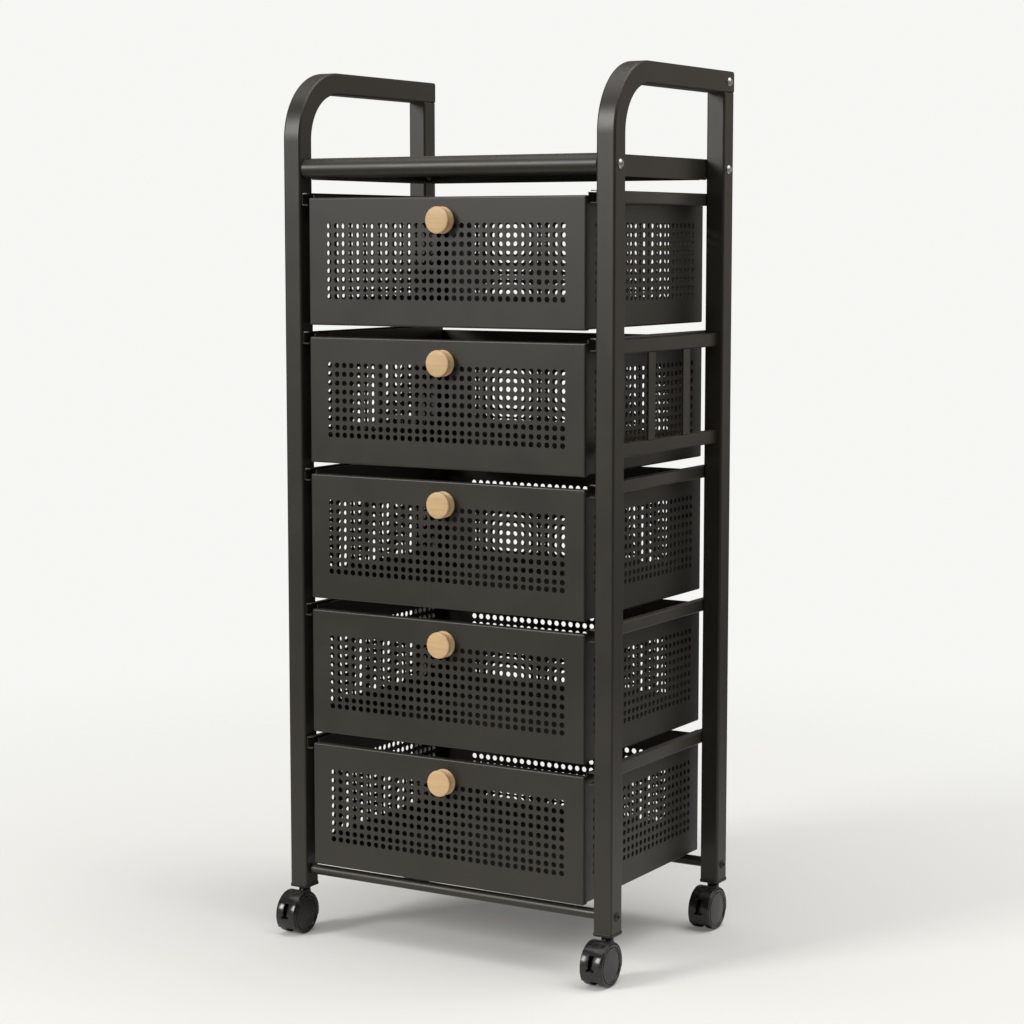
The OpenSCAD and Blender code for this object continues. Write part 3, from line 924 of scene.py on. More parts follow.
@dataclass
class SideFrame:
    """One side: the bent front tube with its handle, the rear post, the brace and the runners."""

    side: Side
    tube_width: float = 23 * MM
    tube_depth: float = 25 * MM
    corner: float = 2.5 * MM
    bend_radius: float = 80 * MM
    brace_corner: float = 1.5 * MM
    bar_thickness: float = 2 * MM
    bar_corner: float = 0.6 * MM
    runner_sheet: float = 1.2 * MM
    runner_bend: float = 2 * MM

    def centre(self, low: Array, high: Array) -> Array:
        """Returns the right-hand place of a node's middle, whatever its side."""
        middle = (low + high) / 2
        return middle * np.array([self.side.value, 1.0, 1.0])

    def handle_tube(self) -> Shell:
        """The front post, bend and handle: one outline carried up, round a quarter circle and back.

        The bend's middle line is centre + reach * (-cos t, sin t) in Y and Z, for t from 0 to 90 degrees.

        Returns:
            A closed shell, drawn for the right.
        """
        low, high = cad_box(f"{self.side.word}_handle_tube")
        x = self.centre(low, high)[0]
        reach = self.bend_radius - self.tube_depth / 2
        centre_y, centre_z = low[1] + self.bend_radius, high[2] - self.bend_radius
        turn = np.radians(np.linspace(0, 90, 33))
        guard = 0.5 * MM
        front, top = low[1] + self.tube_depth / 2, high[2] - self.tube_depth / 2
        y = np.concatenate([[front] * 2, centre_y - reach * np.cos(turn), [centre_y + guard, high[1]]])
        z = np.concatenate([[low[2], centre_z - guard], centre_z + reach * np.sin(turn), [top] * 2])
        path = np.column_stack([np.full_like(y, x), y, z])
        angle = np.concatenate([[0, 0], turn, [math.pi / 2] * 2])
        outward = np.column_stack([np.zeros_like(angle), -np.cos(angle), np.sin(angle)])
        outline = soft_outline(self.tube_width, self.tube_depth, self.corner)
        return sweep(outline, path, X_AXIS, outward)

    def rear_post(self) -> Shell:
        """The straight rear post: one outline carried up.

        Returns:
            A closed shell, drawn for the right.
        """
        low, high = cad_box(f"{self.side.word}_rear_post")
        middle = self.centre(low, high)
        foot, top, guard = low[2], high[2], 1 * MM
        path = np.array([[middle[0], middle[1], z] for z in (foot, foot + guard, top - guard, top)])
        return sweep(soft_outline(self.tube_width, self.tube_depth, self.corner), path, X_AXIS, Y_AXIS)

    def brace(self, tube_height: float = 15.5 * MM, bar_width: float = 17 * MM,
              bar_pitch: float = 85 * MM) -> Shell:
        """Two flat tubes between the posts, and two upright bars welded between them.

        Args:
            tube_height: height of each flat tube.
            bar_width: width of an upright bar.
            bar_pitch: distance between the bars.

        Returns:
            All four pieces, drawn for the right.
        """
        low, high = cad_box(f"{self.side.word}_brace")
        middle, outer = self.centre(low, high), max(abs(low[0]), abs(high[0]))
        outline = soft_outline(high[0] - low[0], tube_height, self.brace_corner, 4)
        parts = []
        for z in (low[2] + tube_height / 2, high[2] - tube_height / 2):
            path = np.array([[middle[0], y, z] for y in (low[1], high[1])])
            parts.append(sweep(outline, path, X_AXIS, Z_AXIS))
        bar = soft_outline(self.bar_thickness, bar_width, self.bar_corner, 3)
        for sign in (-1, 1):
            x, y = outer - self.bar_thickness / 2, middle[1] + sign * bar_pitch / 2
            path = np.array([[x, y, z] for z in (low[2] + tube_height, high[2] - tube_height)])
            parts.append(sweep(bar, path, X_AXIS, Y_AXIS))
        return parts[0].joined(*parts[1:])

    def runners(self, height: float = 14.2 * MM) -> Shell:
        """Five C-shaped runners, each a bent sheet carried from front to back, with its end stop.

        Args:
            height: height of one runner.

        Returns:
            All runners, drawn for the right.
        """
        low, high = cad_box(f"{self.side.word}_runners")
        inner, outer = min(abs(low[0]), abs(high[0])), max(abs(low[0]), abs(high[0]))
        pitch = (high[2] - low[2] - height) / (len(DRAWERS) - 1)
        corners = np.array([[inner, height], [outer, height], [outer, 0.0], [inner, 0.0]])
        outline = thick_line(rounded_line(corners, self.runner_bend)[::-1], self.runner_sheet)
        parts = []
        for i in range(len(DRAWERS)):
            foot, stop = low[2] + i * pitch, high[1] - self.runner_sheet
            path = np.array([[0.0, y, foot] for y in (low[1], stop)])
            parts.append(sweep(outline, path, X_AXIS, Z_AXIS))
            parts.append(block(np.array([inner, stop, foot]), np.array([outer, high[1], foot + height])))
        return parts[0].joined(*parts[1:])

    def build(self, frame_coat: bpy.types.Material, runner_coat: bpy.types.Material) -> None:
        """Makes and dresses the side's four pieces.

        Args:
            frame_coat: finish of the tubes and the brace.
            runner_coat: finish of the runners.
        """
        word = self.side.word
        for part, shell, coat, slot, bevel in (
            ("handle_tube", self.handle_tube(), frame_coat, "frame_coat", 0.0),
            ("rear_post", self.rear_post(), frame_coat, "frame_coat", 0.0),
            ("brace", self.brace(), frame_coat, "frame_coat", 0.0),
            ("runners", self.runners(), runner_coat, "runner_coat", 0.15 * MM),
        ):
            obj = make_object(f"{word}_{part}_steel", shell.on(self.side), bevel=bevel)
            dress(obj, coat, "frame", slot, f"{word}_{part}")


@dataclass
class CrossRails:
    """The four round rails between the side frames."""

    names: tuple[str, ...] = ("top_front_rail", "top_rear_rail", "low_front_rail", "low_rear_rail")
    end_round: float = 1.2 * MM

    def rail(self, node: str) -> Shell:
        """A round bar with softly rounded ends, turned about X.

        Args:
            node: the rail's node.

        Returns:
            A closed shell.
        """
        low, high = cad_box(node)
        radius, half = (high[2] - low[2]) / 2, (high[0] - low[0]) / 2
        bow = arc((radius - self.end_round, half - self.end_round), self.end_round, 0, 90, 5)
        guard = 1 * MM
        upper = np.vstack([[radius, half - self.end_round - guard], bow, [0.0, half]])
        profile = np.vstack([upper[::-1] * [1, -1], upper])
        middle = (low + high) / 2
        return turned(profile, np.array([0.0, middle[1], middle[2]]), X_AXIS, 64)

    def build(self, coat: bpy.types.Material) -> None:
        """Makes and dresses the rails."""
        for node in self.names:
            dress(make_object(f"{node}_tube", self.rail(node)), coat, "frame", "frame_coat", node)


@dataclass
class Shelf:
    """The sheet shelf: a tray turned upside down, open at the front, with relief cuts at the back."""

    sheet: float = 1 * MM
    bend: float = 2 * MM
    relief: float = 9 * MM
    flange_gap: float = 11.2 * MM

    def shell(self) -> Shell:
        """The top with both side flanges as one bent line carried back, and the rear flange.

        Returns:
            The shelf's upper and outer faces, open below.
        """
        low, high = cad_box("shelf")
        half, top, drop = high[0], high[2], high[2] - low[2]
        flange_low, flange_high = low[1] + self.flange_gap, high[1] - self.flange_gap
        bend_start, guard, lead = flange_high - self.bend, 0.1 * MM, 1 * MM
        corners = np.array([[half, -drop], [half, 0.0], [-half, 0.0], [-half, -drop]])
        line = rounded_line(corners, self.bend, 5)
        rows = np.array([flange_low, bend_start - guard, bend_start])
        tray = draped(line[:, 0], rows[:, None], line[:, 1] + top)
        fold = np.array([[bend_start - lead, 0.0], [flange_high, 0.0], [flange_high, -drop]])
        back = rounded_line(fold, self.bend - guard, 5)
        edge = half - self.relief
        flange = draped(np.array([-edge, edge]), back[:, :1], back[:, 1:] + top)
        lips = []
        inset = half - self.bend
        for y0, y1 in ((low[1], flange_low), (bend_start, high[1])):
            corners = [[-inset, y0, top], [inset, y0, top], [inset, y1, top], [-inset, y1, top]]
            lips.append(Shell(np.array(corners), [np.arange(4)[None]]))
        return upright(tray).joined(upright(flange), *lips)

    def build(self, coat: bpy.types.Material) -> None:
        """Makes and dresses the shelf."""
        obj = make_object("shelf_sheet", self.shell(), thickness=self.sheet)
        dress(obj, coat, "frame", "frame_coat", "shelf")


def upright(shell: Shell) -> Shell:
    """Turns an open shell so that the faces of its flat top point up.

    Args:
        shell: the shell, whose first block of faces holds the top.

    Returns:
        The shell, turned over where the normals of its quads add up to a downward one.
    """
    quad = shell.faces[0]
    corners = shell.points[quad]
    normal = np.cross(corners[:, 2] - corners[:, 0], corners[:, 3] - corners[:, 1])
    if normal[:, 2].sum() < 0:
        return Shell(shell.points, [f[:, ::-1] for f in shell.faces])
    return shell


@dataclass
class Caps:
    """The plastic foot caps and the caps in the handle ends."""

    corner: float = 3 * MM
    least_corner: float = 0.3 * MM
    soft: float = 0.6 * MM
    overlap: float = 0.2 * MM
    foot_size: tuple[float, float] = (24.5 * MM, 26.5 * MM)
    foot_thickness: float = 3.5 * MM
    end_size: tuple[float, float] = (23 * MM, 25 * MM)
    end_thickness: float = 2 * MM
    plug_size: tuple[float, float] = (20.2 * MM, 22.2 * MM)
    plug_corner: float = 1.5 * MM

    def slab(self, centre: Array, size: tuple[float, float], thick: float, across: Array, along: Array,
             normal: Array) -> Shell:
        """A plate with both rims rounded: its outline, drawn in at the rims, stacked along its normal.

        A row at height h is drawn in by soft - soft * cos a, where h = soft + soft * sin a.

        Args:
            centre: middle of the lower face.
            size: outer sizes along across and along.
            thick: thickness.
            across: unit direction of the first size.
            along: unit direction of the second size.
            normal: unit direction of the thickness.

        Returns:
            A closed shell.
        """
        bow = arc((0.0, self.soft), self.soft, -90, 0, 4)
        inset, height = self.soft - bow[:, 0], bow[:, 1]
        rows = []
        for i, h in zip([*inset, *inset[::-1]], [*height, *(thick - height[::-1])]):
            outline = soft_outline(size[0] - 2 * i, size[1] - 2 * i, max(self.corner - i, self.least_corner))
            rows.append(centre + outline[:, :1] * across + outline[:, 1:] * along + h * normal)
        return stacked(np.stack(rows))

    def foot_caps(self) -> Shell:
        """All four foot caps: a rounded flange with a plug above it.

        Returns:
            Closed shells side by side.
        """
        low, high = cad_box("foot_caps")
        plug = soft_outline(*self.plug_size, self.plug_corner)
        parts = []
        for corner in Corner:
            stem_low, stem_high = cad_box(f"caster_{corner.value}_stem")
            x, y = (stem_low[:2] + stem_high[:2]) / 2
            foot = np.array([x, y, low[2]])
            parts.append(self.slab(foot, self.foot_size, self.foot_thickness, X_AXIS, Y_AXIS, Z_AXIS))
            path = np.array([[x, y, low[2] + self.foot_thickness - self.overlap], [x, y, high[2]]])
            parts.append(sweep(plug, path, X_AXIS, Y_AXIS))
        return parts[0].joined(*parts[1:])

    def end_caps(self) -> Shell:
        """Both handle end caps: a rounded plate with a plug in front of it.

        Returns:
            Closed shells side by side.
        """
        low, high = cad_box("handle_end_plugs")
        plug = soft_outline(*self.plug_size, self.plug_corner)
        plate = high[1] - self.end_thickness
        parts = []
        for side in Side:
            x, z = side.value * (high[0] - self.end_size[0] / 2), (low[2] + high[2]) / 2
            end = np.array([x, plate, z])
            parts.append(self.slab(end, self.end_size, self.end_thickness, X_AXIS, Z_AXIS, Y_AXIS))
            path = np.array([[x, low[1], z], [x, plate + self.overlap, z]])
            parts.append(sweep(plug, path, X_AXIS, Z_AXIS))
        return parts[0].joined(*parts[1:])

    def build(self, plastic: bpy.types.Material) -> None:
        """Makes and dresses the caps.

        Args:
            plastic: finish of all the caps.
        """
        feet = make_object("foot_cap_mouldings", self.foot_caps())
        dress(feet, plastic, "frame", "black_plastic", "foot_caps")
        ends = make_object("handle_end_caps", self.end_caps())
        dress(ends, plastic, "frame", "black_plastic", "handle_end_plugs")


# ---------------------------------------------------------------- fasteners


@dataclass
class ButtonHead:
    """A button-head bolt or screw with a hexagon socket."""

    head_radius: float
    head_height: float
    shank_radius: float
    shank_length: float
    socket_radius: float
    segments: int = 36

    def shell(self, seat: Array, axis: Array) -> Shell:
        """The dome, the socket and the shank as one surface of rows round the axis.

        A row's radius is r * ((1 - k) + k * hexagon(a)), where the hexagon is cos 30 / cos(a within
        its sixth), and k is 0 on the dome and 1 in the socket. The dome's height falls from full at
        the socket to the rim's share at the edge, with the square of the distance.

        Args:
            seat: where the head's underside meets the part.
            axis: unit direction from the seat out of the head.

        Returns:
            A closed shell.
        """
        rim, mouth = 0.2, 1.12
        angle = np.linspace(0, 2 * math.pi, self.segments, endpoint=False)
        hexagon = math.cos(math.pi / 6) / np.cos((angle % (math.pi / 3)) - math.pi / 6)
        head, hole, tall, deep = self.head_radius, self.socket_radius, self.head_height, self.shank_length
        thin = self.shank_radius
        shank = [[0.0, -deep], [thin, -deep], [thin, 0.0], [head, 0.0], [head, rim * tall]]
        crown = head + (hole * mouth - head) * np.linspace(0, 1, 7)[1:]
        fall = ((crown - hole) / (head - hole)) ** 2
        dome = np.column_stack([crown, tall * (1 - (1 - rim) * fall)])
        socket = np.array(((1.0, 0.97), (0.96, 0.88), (0.96, 0.35), (0.0, 0.25))) * (hole, tall)
        r, h = np.vstack([shank, dome, socket]).T
        k = np.concatenate([np.zeros(len(r) - len(socket)), np.ones(len(socket))])
        polar = r[:, None] * ((1 - k[:, None]) + k[:, None] * hexagon[None])
        axis = np.asarray(axis, float)
        side = np.cross(axis, Z_AXIS)
        side /= np.linalg.norm(side)
        other = np.cross(axis, side)
        ring = np.cos(angle)[:, None] * side + np.sin(angle)[:, None] * other
        points = seat + h[:, None, None] * axis + polar[..., None] * ring[None]
        return Shell(points.reshape(-1, 3), [band(len(r), self.segments)]).welded().outward()


@dataclass
class FrameBolts:
    """The bolts through the posts, one piece for each group of equal bolts."""

    head: ButtonHead = field(
        default_factory=lambda: ButtonHead(head_radius=5.25 * MM, head_height=2.5 * MM, shank_radius=3 * MM,
                                           shank_length=30 * MM, socket_radius=2 * MM))

    def build(self, zinc: bpy.types.Material, black: bpy.types.Material) -> None:
        """Makes and dresses the three groups of bolts.

        Args:
            zinc: finish of the handle and top rail bolts.
            black: finish of the low rail bolts.
        """
        groups = (
            ("handle_bolts", ("top_rear_rail",), zinc, "zinc", 11 * MM),
            ("top_rail_bolts", ("top_front_rail", "top_rear_rail"), zinc, "zinc", 30 * MM),
            ("low_rail_bolts", ("low_front_rail", "low_rear_rail"), black, "black_bolt", 30 * MM),
        )
        outer_face = cad_box("right_rear_post")[1][0]
        for node, rails, material, slot, length in groups:
            low, high = cad_box(node)
            head = replace(self.head, shank_length=length)
            shells = []
            for side in Side:
                for rail in rails:
                    rail_low, rail_high = cad_box(rail)
                    y = (rail_low[1] + rail_high[1]) / 2
                    seat = np.array([side.value * outer_face, y, (low[2] + high[2]) / 2])
                    shells.append(head.shell(seat, side.value * X_AXIS))
            obj = make_object(f"{node}_set", shells[0].joined(*shells[1:]))
            dress(obj, material, "frame", slot, node)


# ---------------------------------------------------------------- drawers


@dataclass
class Drawer:
    """One drawer: the perforated front, the tray behind it, the knob and its screw."""

    number: int
    sheet: float = 1 * MM
    fold_radius: float = 1.8 * MM
    hole_radius: float = 3.2 * MM
    step_x: float = 9.9 * MM
    step_y: float = 10.1 * MM
    step_z: float = 10.2 * MM
    last_step: float = 8.7 * MM
    columns_x: int = 32
    columns_back: int = 28
    columns_y: int = 24
    rows_z: int = 9
    top_margin: float = 32 * MM
    floor_bend: float = 2 * MM
    notch_gap: float = 0.5 * MM
    hook_sheet: float = 1.2 * MM
    hook_bend: float = 1.6 * MM
    hook_start: float = 30 * MM
    hook_end: float = 1.6 * MM
    lip_drop: float = 7.1 * MM
    stop_drop: float = 5.7 * MM
    stop_gap: float = 0.6 * MM

    def node(self, part: str) -> str:
        """Returns the name of one of the drawer's nodes."""
        return f"drawer_{self.number}_{part}"

    def row_heights(self, top: float) -> Array:
        """Heights of the hole rows, from the lowest up; the lowest is a little closer."""
        drop = np.arange(self.rows_z) * self.step_z
        drop[-1] = drop[-2] + self.last_step
        return np.sort(top - self.top_margin - drop)

    def column_places(self, count: int, step: float, middle: float = 0.0) -> Array:
        """Places of the hole columns, centred on a middle."""
        return middle + (np.arange(count) - (count - 1) / 2) * step

    def front(self) -> Shell:
        """The front panel: a punched sheet whose rim is rolled back by a quarter circle and a flange.

        A rim row stands at border + n * r sin(t), and goes back by r (1 - cos t). At each corner the
        border point is repeated while its normal n turns through a quarter circle.

        Returns:
            The panel's outer face, open at the back.
        """
        low, high = cad_box(self.node("front"))
        r = self.fold_radius
        flat_low, flat_high = (low[0] + r, low[2] + r), (high[0] - r, high[2] - r)
        sheet = PunchedSheet(flat_low, flat_high, self.column_places(self.columns_x, self.step_x),
                             self.row_heights(high[2]), self.hole_radius)
        points, faces, u, v = sheet.surface()
        flat = Shell(placed(points, np.array([0.0, low[1], 0.0]), X_AXIS, Z_AXIS), faces)
        fan_turn = np.radians(np.linspace(0, QUARTER, 5))[1:-1]
        sides = (
            (np.column_stack([u[::-1], np.full_like(u, v[-1])]), 90.0),
            (np.column_stack([np.full_like(v, u[0]), v[::-1]]), 180.0),
            (np.column_stack([u, np.full_like(u, v[0])]), 270.0),
            (np.column_stack([np.full_like(v, u[-1]), v]), 0.0),
        )
        border, normal = [], []
        for line, heading in sides:
            angle = math.radians(heading)
            border.append(line)
            normal.append(np.tile([math.cos(angle), math.sin(angle)], (len(line), 1)))
            fan = angle + fan_turn
            border.append(np.tile(line[-1], (len(fan), 1)))
            normal.append(np.column_stack([np.cos(fan), np.sin(fan)]))
        border, normal = np.vstack(border), np.vstack(normal)
        turn, guard = np.radians(np.linspace(0, QUARTER, 6)), 0.1 * MM
        out = np.concatenate([r * np.sin(turn), [r, r]])
        back = np.concatenate([r * (1 - np.cos(turn)), [r + guard, high[1] - low[1]]])
        rim = border[None] + normal[None] * out[:, None, None]
        y = np.broadcast_to(low[1] + back[:, None], rim.shape[:2])
        grid = np.stack([rim[..., 0], y, rim[..., 1]], -1)
        fold = Shell(grid.reshape(-1, 3), [band(len(out), len(border))[:, ::-1]])
        return flat.joined(fold).welded()

    def tray(self) -> Shell:
        """Sides, bottom and back: punched sheets, with a bent edge where side meets bottom.

        Returns:
            The tray's outer faces, without the slide hooks.
        """
        low, high = cad_box(self.node("box"))
        front_low, front_high = cad_box(self.node("front"))
        half = front_high[0] - self.sheet
        r, guard = self.floor_bend, 0.1 * MM
        bottom, side_top = front_low[2] + self.sheet, front_high[2] - self.sheet
        rows = self.row_heights(front_high[2])
        step = front_high[1] + self.notch_gap
        middle = (low[1] + high[1]) / 2
        side = PunchedSheet((low[1], bottom + r), (high[1], high[2]),
                            self.column_places(self.columns_y, self.step_y, middle), rows, self.hole_radius,
                            notch=(step, side_top), extra_u=(step,), extra_v=(side_top,))
        points, faces, y_lines, _ = side.surface()
        right = Shell(placed(points, half * X_AXIS, Y_AXIS, Z_AXIS), faces)
        bow = arc((half - r, bottom + r), r, 0, -90, 5)
        line = np.vstack([bow, [half - r - guard, bottom], [0.0, bottom]])
        floor = draped(line[:, 0], y_lines[:, None], line[:, 1])
        wing = right.joined(floor).welded()
        inner = half - self.sheet
        back = PunchedSheet((-inner, bottom + self.sheet), (inner, side_top),
                            self.column_places(self.columns_back, self.step_x), rows, self.hole_radius)
        points, faces, _, _ = back.surface()
        rear = Shell(placed(points, high[1] * Y_AXIS, -X_AXIS, Z_AXIS), faces)
        return wing.joined(wing.mirrored(), rear)

    def hooks(self) -> Shell:
        """The slide hooks: a strip that stands out from each side, with a lip turned down.

        Returns:
            Both hooks and their end walls, closed.
        """
        high = cad_box(self.node("box"))[1]
        front_high = cad_box(self.node("front"))[1]
        half, sheet = front_high[0] - self.sheet, self.hook_sheet
        start, end = front_high[1] + self.hook_start, high[1] - self.hook_end
        lip_low = front_high[2] - self.lip_drop
        corners = np.array([[half, high[2]], [high[0], high[2]], [high[0], lip_low]])
        line = rounded_line(corners, self.hook_bend)
        path = np.array([[0.0, start, 0.0], [0.0, end, 0.0]])
        hook = sweep(thick_line(line[::-1], sheet), path, X_AXIS, Z_AXIS)
        wall = block(np.array([half, end - sheet, front_high[2] - self.stop_drop]),
                     np.array([high[0] - sheet, end, high[2] - self.stop_gap]))
        right = hook.joined(wall)
        return right.joined(right.mirrored())

    def knob(self) -> Shell:
        """The turned knob: thin rear rim, concave waist, and a softly domed face with a rounded edge.

        The waist's radius is R - d * (1 - w^2), with w from -1 at the rear rim to 0.35 at the face.

        Returns:
            A closed shell.
        """
        low, high = cad_box(self.node("knob"))
        radius, length = (high[0] - low[0]) / 2, high[1] - low[1]
        rim, lip, depth, edge, dome = 1.6 * MM, 0.6 * MM, 3.0 * MM, 1.5 * MM, 0.7 * MM
        head, under, inset, last = 4.4 * MM, 1.1 * MM, 0.1 * MM, 0.35
        waist_end = length - head
        w = np.linspace(-1, last, 14)
        waist = np.column_stack([radius - depth * (1 - w**2) - inset,
                                 rim + (w + 1) / (last + 1) * (waist_end - rim)])
        rear = arc((radius - lip, lip), lip, -90, 0, 5)
        front_low = arc((radius - under, waist_end + under), under, -80, 0, 5)
        front_edge = arc((radius - edge, length - dome - edge), edge, 0, 84, 7)
        r = np.linspace(radius - edge * 1.6, 0, 7)
        face = np.column_stack([r, length - dome * (r / radius) ** 2])
        profile = np.vstack([[0.0, 0.0], rear, waist, front_low, front_edge, face])
        centre = np.array([(low[0] + high[0]) / 2, high[1], (low[2] + high[2]) / 2])
        return turned(profile, centre, -Y_AXIS, 72)

    def screw(self) -> Shell:
        """The screw that holds the knob, with its head inside the drawer.

        Returns:
            A closed shell.
        """
        low, high = cad_box(self.node("knob_screw"))
        tall = 2.5 * MM
        seat = np.array([(low[0] + high[0]) / 2, high[1] - tall, (low[2] + high[2]) / 2])
        screw = ButtonHead(head_radius=4 * MM, head_height=tall, shank_radius=2 * MM,
                           shank_length=seat[1] - low[1], socket_radius=1.5 * MM, segments=24)
        return screw.shell(seat, Y_AXIS)

    def build(self, coat: bpy.types.Material, beech: bpy.types.Material, zinc: bpy.types.Material) -> None:
        """Makes and dresses the drawer's pieces.

        Args:
            coat: finish of the sheets.
            beech: finish of the knob.
            zinc: finish of the screw.
        """
        body = f"drawer_{self.number}"
        panel = make_object(self.node("panel"), self.front(), thickness=self.sheet)
        dress(panel, coat, body, "drawer_coat", self.node("front"))
        tray = make_object(self.node("tray"), self.tray(), thickness=self.sheet)
        dress(tray, coat, body, "drawer_coat", self.node("box"))
        hooks = make_object(self.node("slide_hooks"), self.hooks())
        hooks.data.materials.append(coat)
        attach(hooks, body)
        knob = make_object(self.node("beech_knob"), self.knob())
        dress(knob, beech, body, "beech", self.node("knob"))
        screw = make_object(self.node("screw"), self.screw())
        dress(screw, zinc, body, "zinc", self.node("knob_screw"))


# ---------------------------------------------------------------- casters


@dataclass
class Caster:
    """One twin-wheel caster: stem, hood, axle and two wheels."""

    corner: Corner
    pin_radius: float = 2.5 * MM
    shank_radius: float = 4 * MM
    collar_foot: float = 12.5 * MM
    collar_head: float = 15 * MM
    collar_edge: float = 0.5 * MM
    web: float = 8 * MM
    web_inset: float = 0.7 * MM
    wall: float = 1.4 * MM
    hood_edge: float = 1.1 * MM
    front_dip: float = 35.0
    rear_dip: float = 15.0
    slot_width: float = 5.6 * MM
    slot_foot: float = 10 * MM
    slot_depth: float = 6 * MM
    slot_low: float = -3 * MM
    slot_foot_top: float = 0.4 * MM
    slot_top: float = 15 * MM
    boss_radius: float = 7 * MM
    boss_low: float = 17 * MM
    boss_edge: float = 1.2 * MM
    boss_bore: float = 3.2 * MM
    bore_depth: float = 1.5 * MM

    def node(self, part: str) -> str:
        """Returns the name of one of the caster's nodes."""
        return f"caster_{self.corner.value}_{part}"

    def stem(self) -> Shell:
        """The stem: swivel pin, rounded collar and shank, turned about Z.

        Returns:
            A closed shell.
        """
        low, high = cad_box(self.node("stem"))
        centre = np.array([(low[0] + high[0]) / 2, (low[1] + high[1]) / 2, low[2]])
        pin, collar, shank, top = self.pin_radius, (high[0] - low[0]) / 2, self.shank_radius, high[2] - low[2]
        foot, head, edge = self.collar_foot, self.collar_head, self.collar_edge
        pin_chamfer, shank_chamfer = 0.4 * MM, 0.6 * MM
        profile = np.vstack([
            [[0, 0], [pin - pin_chamfer, 0], [pin, pin_chamfer], [pin, foot]],
            arc((collar - edge, foot + edge), edge, -90, 0, 3),
            arc((collar - edge, head - edge), edge, 0, 90, 3),
            [[shank, head], [shank, top - shank_chamfer], [shank - shank_chamfer, top], [0, top]],
        ])
        return turned(profile, centre, Z_AXIS, 40)

    def hood_ring(self, start: float, end: float, x0: float, x1: float, side: float, axle: Array,
                  outer: float) -> Shell:
        """A stretch of the hood's shell: its cross-section carried round the axle.

        The outline is a flat strip, rounded where it ends at the hood's side, and a place on it at
        angle a is axle + x * X + r * (cos a * -Y + sin a * Z).

        Args:
            start: first angle, in degrees above the front.
            end: last angle.
            x0: left edge.
            x1: right edge.
            side: distance of the hood's sides from its middle.
            axle: centre of the axle.
            outer: outer radius.

        Returns:
            A closed shell.
        """
        r, inner = self.hood_edge, outer - self.wall
        left = arc((x0 + r, outer - r), r, 180, 90, 4) if -x0 >= side - r else np.array([[x0, outer]])
        right = arc((x1 - r, outer - r), r, 90, 0, 4) if x1 >= side - r else np.array([[x1, outer]])
        line = np.vstack([[x0, inner], left, right, [x1, inner]])
        steps = max(int((end - start) / 3), 2)
        angle = np.radians(np.linspace(start, end, steps + 1))
        out = np.column_stack([np.zeros_like(angle), -np.cos(angle), np.sin(angle)])
        path = np.broadcast_to(axle, out.shape)
        return sweep(line, path, X_AXIS, out)

    def hood(self) -> Shell:
        """The hood: the shell over both treads with its front slot, the web and the stem's boss.

        The web's outline stands off the axle by the lesser of its radius and drop / sin of the angle
        below the axle, which cuts it flat underneath; in the slot it draws back by the slot's depth.

        Returns:
            The closed shells of the strips, the web and the boss.
        """
        low, high = cad_box(self.node("hood"))
        axle_low, axle_high = cad_box(self.node("axle"))
        stem_low, stem_high = cad_box(self.node("stem"))
        axle = (axle_low + axle_high) / 2
        x_half, outer = (high[0] - low[0]) / 2, (high[1] - low[1]) / 2
        low_end, foot_end, top_end = (math.degrees(math.asin(h / outer)) for h in
                                      (self.slot_low, self.slot_foot_top, self.slot_top))
        stretches = (
            (-self.front_dip, low_end, 0.0), (low_end, foot_end, self.slot_foot),
            (foot_end, top_end, self.slot_width), (top_end, 180.0 + self.rear_dip, 0.0),
        )
        parts = []
        for start, end, gap in stretches:
            strips = ((-x_half, -gap / 2), (gap / 2, x_half)) if gap else ((-x_half, x_half),)
            parts += [self.hood_ring(start, end, x0, x1, x_half, axle, outer) for x0, x1 in strips]
        slot_ends = [low_end, low_end + 0.5, top_end - 0.5, top_end]
        degrees = np.unique(np.concatenate([np.arange(-90, 270, 5.0), slot_ends]))
        angle, drop = np.radians(degrees), axle[2] - low[2]
        flat = np.where(np.sin(angle) < 0, drop / np.maximum(-np.sin(angle), 1e-6), np.inf)
        in_slot = (degrees > low_end + 0.2) & (degrees < top_end - 0.2)
        reach = np.where(in_slot, outer - self.slot_depth, np.minimum(flat, outer - self.web_inset))
        outline = np.column_stack([-np.cos(angle) * reach, np.sin(angle) * reach])
        path = axle + np.array([[-self.web / 2, 0, 0], [self.web / 2, 0, 0]])
        parts.append(sweep(outline, path, Y_AXIS, Z_AXIS))
        stem = (stem_low + stem_high) / 2
        height, boss, base, edge = high[2] - axle[2], self.boss_radius, self.boss_low, self.boss_edge
        bore, bore_foot = self.boss_bore, high[2] - axle[2] - self.bore_depth
        profile = np.vstack([
            [[0, base], [boss - 1.5 * MM, base]],
            [[boss + 1.2 * MM, base + 3.2 * MM], [boss + 0.4 * MM, base + 4.6 * MM], [boss, base + 6.4 * MM]],
            arc((boss - edge, height - edge), edge, 0, 90, 5),
            [[bore, height], [bore, bore_foot], [0, bore_foot]],
        ])
        parts.append(turned(profile, np.array([stem[0], stem[1], axle[2]]), Z_AXIS, 48))
        return parts[0].joined(*parts[1:])

